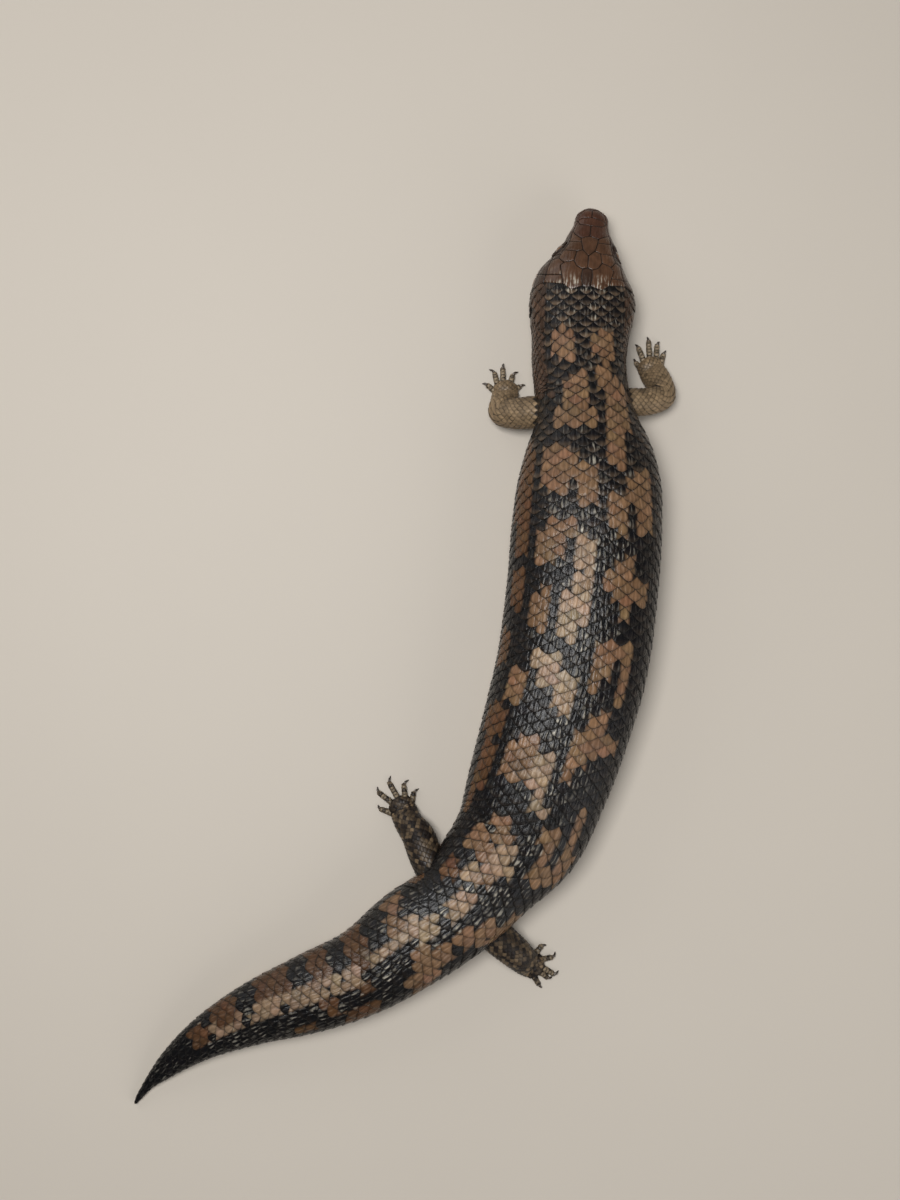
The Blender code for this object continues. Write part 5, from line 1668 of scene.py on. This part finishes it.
@dataclass
class BodyScales:
    """The overlapping scales from the throat and nape to the tail's tip."""

    HEAD_END = 48.0            # the plates lie ahead of this
    TUCK_FROM = 29.0           # behind this a scale may start under a plate
    TUCK = 0.36                # by this share of its pitch
    PLATE_MARGIN = 0.3
    LEG_DEPTH = 0.9
    FIRST = 1.5
    EYE_ROOM = (5.2, 4.2)
    EAR_ROOM = (2.5, 3.2)

    body: BodyChart
    markings: Markings
    legs: dict[str, TubeChart]
    eye: tuple[float, float] = (19.0, 18.8)
    ear: tuple[float, float] = (42.6, 16.0)
    stretches: tuple[tuple[str, float, float], ...] = (
        ("scales_neck", 0.0, 110.0), ("scales_front", 110.0, 200.0), ("scales_rear", 200.0, 295.0),
        ("scales_tail", 295.0, 460.0))
    coarse: Weave = Weave(
        ((0, 1.8), (20, 2.2), (32, 2.9), (47, 3.1), (68, 3.3), (100, 3.7), (128, 4.0), (262, 4.0), (314, 4.2),
         (340, 4.2), (360, 4.1), (400, 3.3), (430, 2.2), (452, 1.2)),
        ((0, 2.3), (20, 2.8), (32, 4.2), (47, 4.3), (68, 4.5), (100, 4.8), (200, 4.9), (262, 5.0), (314, 4.8),
         (360, 4.4), (400, 4.0), (440, 3.4), (452, 3.0)))
    fine: Weave = Weave(((0, 1.9), (452, 1.9)), ((0, 2.5), (452, 2.5)))
    # Strength of the painted sheen along the body: pale streaks on the top's dark scales that stand in for
    # highlights.
    sheen_along: tuple[tuple[float, float], ...] = (
        (0, 0), (31, 0), (33, 0.8), (46, 0.7), (50, 0.2), (90, 0.25), (120, 0.8), (290, 0.85), (330, 0.6),
        (452, 0.1))
    # Strength of the painted highlight along dark scales' rear edges, by place along the body.
    painted_rear_highlight: tuple[tuple[float, float], ...] = (
        (0, 0), (31, 0), (33, 0.75), (54, 0.7), (66, 0.35), (120, 0.3), (135, 0.1), (452, 0.0))

    def fine_ground(self, s: np.ndarray, a: np.ndarray, centres: np.ndarray) -> np.ndarray:
        """Return which places have small scales: the sides of the neck and the legs' roots."""
        small = (s > 46) & (s < 76) & (np.abs(a) > 18 + 0.1 * np.abs(s - 60)) & (np.abs(a) < 36)
        for chart in self.legs.values():
            gaps = np.linalg.norm(centres[:, None] - chart.path[None, ::4], axis=2).min(axis=1)
            small |= gaps < chart.sizes[0].mean() + 4.0
        return small

    def hues(self, s: np.ndarray, a: np.ndarray, seed: int) -> np.ndarray:
        """Return the scales' colours: the pattern, with brown cheeks and neck sides."""
        hue = self.markings.tones(s, a, seed)
        rng = np.random.default_rng(seed + 1)
        s = s[:, None] + 0 * a
        left, right = self.body.girths(s)
        share = np.abs(a) / np.where(a < 0, left, right)
        cheek = (s < 44) & (share > 0.30) & (share < 0.62)
        side = (s >= 44) & (s < 78) & (np.abs(a) > 17) & (share < 0.66)
        brown = linear(Tone.NECK.value) * np.exp(rng.normal(0.0, 0.25, (len(s), 1, 1))) + 0 * hue
        return np.where((cheek | side)[..., None], brown, hue)

    def keep_free(self, field_: ScaleField, setter: PlateSetter) -> None:
        """Leave out the scales that would lie under a plate, in an opening or inside a leg."""
        kept = np.ones(len(field_.s), bool)
        head = np.flatnonzero(field_.s < self.HEAD_END)
        s = field_.s[head]
        tucked = s + np.where(s > self.TUCK_FROM, self.TUCK, 0.0) * field_.weave.pitch(s)
        kept[head[setter.covers(tucked, field_.a[head], self.PLATE_MARGIN)]] = False
        for _, side in SIDES:
            for (back, height), (long, tall) in ((self.eye, self.EYE_ROOM), (self.ear, self.EAR_ROOM)):
                a = self.body.from_side(np.array([back]), np.array([height]), side)[0]
                kept &= ((field_.s - back) / long) ** 2 + ((field_.a - a) / tall) ** 2 > 1
        centres = field_.centres()
        for chart in self.legs.values():
            kept &= chart.depth(centres) > self.LEG_DEPTH
        kept &= field_.s > self.FIRST
        field_.keep(kept)

    def build(self, setter: PlateSetter, material: bpy.types.Material) -> list[bpy.types.Object]:
        """Make the coats' objects."""
        coarse = ScaleField(self.body, self.coarse, scale_cell(8, 7), SCALE_SEED)
        fine = ScaleField(self.body, self.fine, scale_cell(6, 5), SCALE_SEED + 1)
        for field_ in (coarse, fine):
            self.keep_free(field_, setter)
        small = [self.fine_ground(f.s, f.a, f.centres()) for f in (coarse, fine)]
        coarse.keep(~small[0])
        fine.keep(small[1])
        made = []
        values = []
        for number, field_ in enumerate((coarse, fine)):
            s, a = field_.s, field_.a
            hue = self.hues(s, field_.lanes(), HUE_SEED + number)
            # Painted sheen on the dark scales, strongest along the top of the body: pale streaks that stand
            # in for highlights.
            top = np.exp(-(a / 14.0) ** 2)
            sheen_along = np.interp(s, *np.array(self.sheen_along).T)
            rng = np.random.default_rng(SHEEN_SEED + number)
            dark = hue[:, 1].sum(axis=1) < 0.06
            sheen_mix = sheen_along * top * 1.6 * rng.random(len(s)) ** 1.5
            painted_sheen = np.clip(sheen_mix * np.where(dark, 1.0, 0.3), 0.0, 1.0)
            # Painted highlight along the rear edges of the dark scales, mostly behind the head.
            pale = np.interp(s, *np.array(self.painted_rear_highlight).T) * (np.abs(a) < 36)
            pale *= dark * rng.uniform(0.2, 1.0, len(s))
            rear = np.tile(linear(Tone.PALE_AND_SHEEN.value) * 0.8, (len(s), 1))
            edge = np.concatenate((rear, pale[:, None]), axis=1)
            values.append((hue, painted_sheen, edge))
        for name, start, end in self.stretches:
            coat = Coat(name)
            for field_, (hue, painted_sheen, edge) in zip((coarse, fine), values):
                chosen = (field_.s >= start) & (field_.s < end)
                field_.lay(coat, hue, painted_sheen, (start, min(end, self.body.length)), edge, chosen)
            LOG.info("%s: %d triangles", name, coat.triangles)
            made.append(coat.build(material))
        return made


@dataclass
class LimbScales:
    """The small scales of one leg, its foot and its toes."""

    limb: Limb
    body: BodyChart
    leg: TubeChart
    toes: list[TubeChart]

    def leg_hues(self, field_: ScaleField) -> np.ndarray:
        """Return the colours of a leg's scales: banded, paler on the foot."""
        rng = np.random.default_rng(int(abs(self.limb.palm[0]) * 10))
        share = field_.s / self.leg.length
        pale, dark = linear(Tone.LEG.value), linear(Tone.LEG_DARK.value)
        if self.limb.hind:
            bands = 0.5 + 0.5 * np.sin(field_.s * 0.62 + 1.2 * np.sin(field_.a * 0.6))
            light = 0.05 + 0.5 * (rng.random(len(share)) < 0.1 + 0.6 * bands ** 2) * (0.4 + 0.6 * share)
        else:
            rear = np.clip((field_.a * (1 if self.limb.palm[0] > 0 else -1)) / 10.0, -1.0, 1.0)
            light = 0.85 + 0.1 * np.sin(field_.s * 0.8) - 0.35 * rear
        light = np.clip(light + rng.normal(0.0, 0.12, len(share)), 0.0, 1.0)[:, None]
        return (dark * (1 - light) + pale * light) * np.exp(rng.normal(0.0, 0.08, (len(share), 1)))

    def toe_hues(self, field_: ScaleField, seed: int) -> np.ndarray:
        """Return the colours of a toe's scales: pale with dark rings."""
        rng = np.random.default_rng(seed)
        ring = (np.sin(field_.s * 2.1 + seed) > 0.35) & (np.abs(field_.a) < 2.6)
        light = np.where(ring, 0.15, 0.7) if self.limb.hind else np.where(ring, 0.5, 1.0)
        light = np.clip(light + rng.normal(0.0, 0.1, len(light)), 0.0, 1.0)[:, None]
        return (linear(Tone.LEG_DARK.value) * (1 - light) + linear(Tone.CREAM.value) * light) * 0.85

    def build(self, leg_material: bpy.types.Material) -> list[bpy.types.Object]:
        """Make the leg's and the foot's objects."""
        end = self.leg.length
        weave = Weave(((0, 1.45), (end * 0.6, 1.35), (end, 1.05)), ((0, 2.3), (end * 0.6, 2.1), (end, 1.6)),
                      base=-0.42, step=0.9, crown=0.45, wall=0.5, seam=0.34)
        scales = ScaleField(self.leg, weave, scale_cell(6, 5), LEG_SEED)
        centres = scales.centres()
        outside = self.body.locate(centres)[2] > 0.985
        scales.keep(outside)
        hue = self.leg_hues(scales)
        coat = Coat(f"{self.limb.name}_scales")
        scales.lay(coat, np.repeat(hue[:, None], 3, axis=1), 0 * scales.s, (0.0, end))
        made = [coat.build(leg_material)]
        foot = Coat(f"{self.limb.name.replace('leg', 'foot')}_scales")
        toe_weave = Weave(((0, 1.75), (20, 1.5)), ((0, 1.3), (20, 1.15)), base=-0.24, step=0.5, crown=0.34,
                          wall=0.35, seam=0.36)
        for number, toe in enumerate(self.toes):
            scales = ScaleField(toe, toe_weave, scale_cell(5, 4), TOE_SEED + number)
            scales.keep((self.leg.depth(scales.centres()) > 0.6) & (scales.s < toe.length - 0.3))
            scales.lay(foot, np.repeat(self.toe_hues(scales, number)[:, None], 3, axis=1), 0 * scales.s,
                       (0.0, toe.length))
        made.append(foot.build(leg_material))
        LOG.info("%s: %d and %d triangles", self.limb.name, coat.triangles, foot.triangles)
        return made


@dataclass
class Claws:
    """The five claws of one foot: bent tapering horns."""

    limb: Limb
    toes: list[TubeChart]
    radii: tuple[float, ...] = (0.72, 0.61, 0.43, 0.14)
    slimness: float = 0.82
    sides: int = 14
    rows: int = 16

    def path(self, toe: Toe, chart: TubeChart) -> tuple[np.ndarray, np.ndarray]:
        """Return the points of a claw's middle line and its radii."""
        tip = chart.path[-1] - unit(chart.path[-1] - chart.path[-4]) * 0.1 * toe.length
        along, turn = bearing(toe.bearing), bearing(toe.claw_bearing)
        bend, length = unit(along + turn), toe.claw_length * 0.78
        first = tip + np.array([0.0, 0.0, 0.15])
        second = tip + bend * 0.55 * length + np.array([0.0, 0.0, 0.35])
        third = second + turn * 0.35 * length + np.array([0.0, 0.0, -0.45])
        fourth = third + turn * 0.30 * length + np.array([0.0, 0.0, -0.55])
        points = np.array([first, second, third, fourth])
        points[:, 2] = np.maximum(points[:, 2], 0.25)
        return points, np.array(self.radii)

    def build(self, material: bpy.types.Material) -> bpy.types.Object:
        """Make the foot's claws as one object."""
        bm = bmesh.new()
        shares: list[np.ndarray] = []
        for toe, chart in zip(self.limb.toes, self.toes):
            points, radii = self.path(toe, chart)
            knots = np.arange(4) / 3.0
            at = np.linspace(0.0, 1.0, self.rows + 1)
            middle = np.stack([smooth_table(knots, points[:, axis], at) for axis in range(3)], axis=1)
            size = smooth_table(knots, radii, at) * np.sqrt(np.clip((1.03 - at) / 0.12, 0.0, 1.0))
            ahead = unit(np.gradient(middle, axis=0))
            across = unit(np.cross(np.array([0.0, 0.0, 1.0]), ahead))
            up = np.cross(ahead, across)

            def bend(around: np.ndarray, along: np.ndarray) -> np.ndarray:
                """Return the claw's points, by turns round it and shares of its length."""
                row, turn = (along * self.rows).round().astype(int), around * 2 * math.pi
                aside, rise = np.sin(turn) * size[row] * self.slimness, np.cos(turn) * size[row]
                place = middle[row] + across[row] * aside[:, None] + up[row] * rise[:, None]
                place[:, 2] = np.maximum(place[:, 2], 0.02)
                shares.append(row / self.rows)
                return place

            bent_grid(bm, self.sides, self.rows, bend)
        mesh = mesh_from(bm, f"{self.limb.name}_claws")
        set_values(mesh, rim=np.concatenate(shares))
        close_mesh(mesh)
        return place_object(mesh, mesh.name, material)


@dataclass
class Studio:
    """The pale floor, the soft lights and the camera, which looks straight down."""

    camera_place: tuple[float, float, float] = (-0.053, -0.006, 0.700)
    lens: float = 51.2
    floor_colour: tuple[float, float, float, float] = (0.50, 0.45, 0.385, 1.0)
    lights: tuple[tuple[str, tuple[float, float, float], float, float], ...] = (
        ("ceiling light", (-0.20, 0.10, 1.05), 0.40, 9.4), ("window light", (0.8, -0.7, 0.6), 0.9, 4.2),
        ("room light", (-0.8, 0.8, 0.5), 0.9, 3.2))
    surroundings: float = 0.15

    def build_floor(self) -> bpy.types.Object:
        """Make the floor."""
        bm = bmesh.new()
        bmesh.ops.create_grid(bm, x_segments=1, y_segments=1, size=3.0)
        mesh = mesh_from(bm, "floor")
        material, graph, shader = start_material("pale floor", {"Roughness": 0.6})
        pale = self.floor_colour
        paler = tuple(value * 1.06 for value in pale[:3]) + (1.0,)
        graph.feed(shader.inputs["Base Color"], graph.mix(graph.noise(graph.place(), 6.0, 3.0), pale, paler))
        mesh.materials.append(material)
        item = bpy.data.objects.new("floor", mesh)
        bpy.context.scene.collection.objects.link(item)
        return item

    def add_light(self, name: str, place: tuple[float, float, float], size: float, power: float) -> None:
        """Add one square soft light that faces the model."""
        data = bpy.data.lights.new(name, "AREA")
        data.size, data.energy = size, power
        item = bpy.data.objects.new(name, data)
        item.location = place
        item.rotation_euler = (-Vector(place)).to_track_quat("-Z", "Y").to_euler()
        bpy.context.scene.collection.objects.link(item)

    def build(self) -> None:
        """Make the floor, the lights, the pale surroundings and the camera."""
        self.build_floor()
        for light in self.lights:
            self.add_light(*light)
        world = bpy.data.worlds.new("pale room")
        world.use_nodes = True
        background = world.node_tree.nodes["Background"]
        background.inputs["Color"].default_value = (0.95, 0.97, 1.0, 1.0)
        background.inputs["Strength"].default_value = self.surroundings
        bpy.context.scene.world = world
        data = bpy.data.cameras.new("camera")
        data.lens, data.sensor_width = self.lens, 36.0
        camera = bpy.data.objects.new("camera", data)
        camera.location = self.camera_place
        bpy.context.scene.collection.objects.link(camera)
        bpy.context.scene.camera = camera
        bpy.context.scene.view_settings.view_transform = "Standard"


def main() -> None:
    """Build the model piece by piece."""
    logging.basicConfig(level=logging.INFO, format="%(message)s")
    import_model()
    body = BodyChart()
    legs = {limb.name: leg_chart(limb) for limb in LIMBS}
    toes = {limb.name: [toe_chart(limb, toe) for toe in limb.toes] for limb in LIMBS}
    eyes = {name: Eye(body, side) for name, side in SIDES}
    markings = Markings(body)
    scales, shields, small, lids = (finish.make() for finish in (SCALES, SHIELDS, SMALL_SCALES, LIDS))
    wet, horn = eye_material(), claw_material()

    head = Head(body)
    skin = Skin(body, legs, [toe for group in toes.values() for toe in group], list(eyes.values()), markings)
    skin_object = skin.build(skin_material(), [head.nostril_pit(side) for _, side in SIDES])
    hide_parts(*FLESH)
    LOG.info("skin: %d faces", len(skin_object.data.polygons))

    plates, setter = head.build(shields)
    LOG.info("head plates: %d", setter.number)
    for name, eye in eyes.items():
        ball = eye.build_ball(f"eyeball_{name}", wet)
        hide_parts(f"eye_{name}")
        eye.build_lids(f"lids_{name}", lids)
    LOG.info("eyes and lids")

    for piece in BodyScales(body, markings, legs).build(setter, scales):
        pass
    for limb in LIMBS:
        pieces = LimbScales(limb, body, legs[limb.name], toes[limb.name]).build(small)
        Claws(limb, toes[limb.name]).build(horn)
    Studio().build()
    LOG.info("floor, lights and camera")


if __name__ == "__main__":
    main()
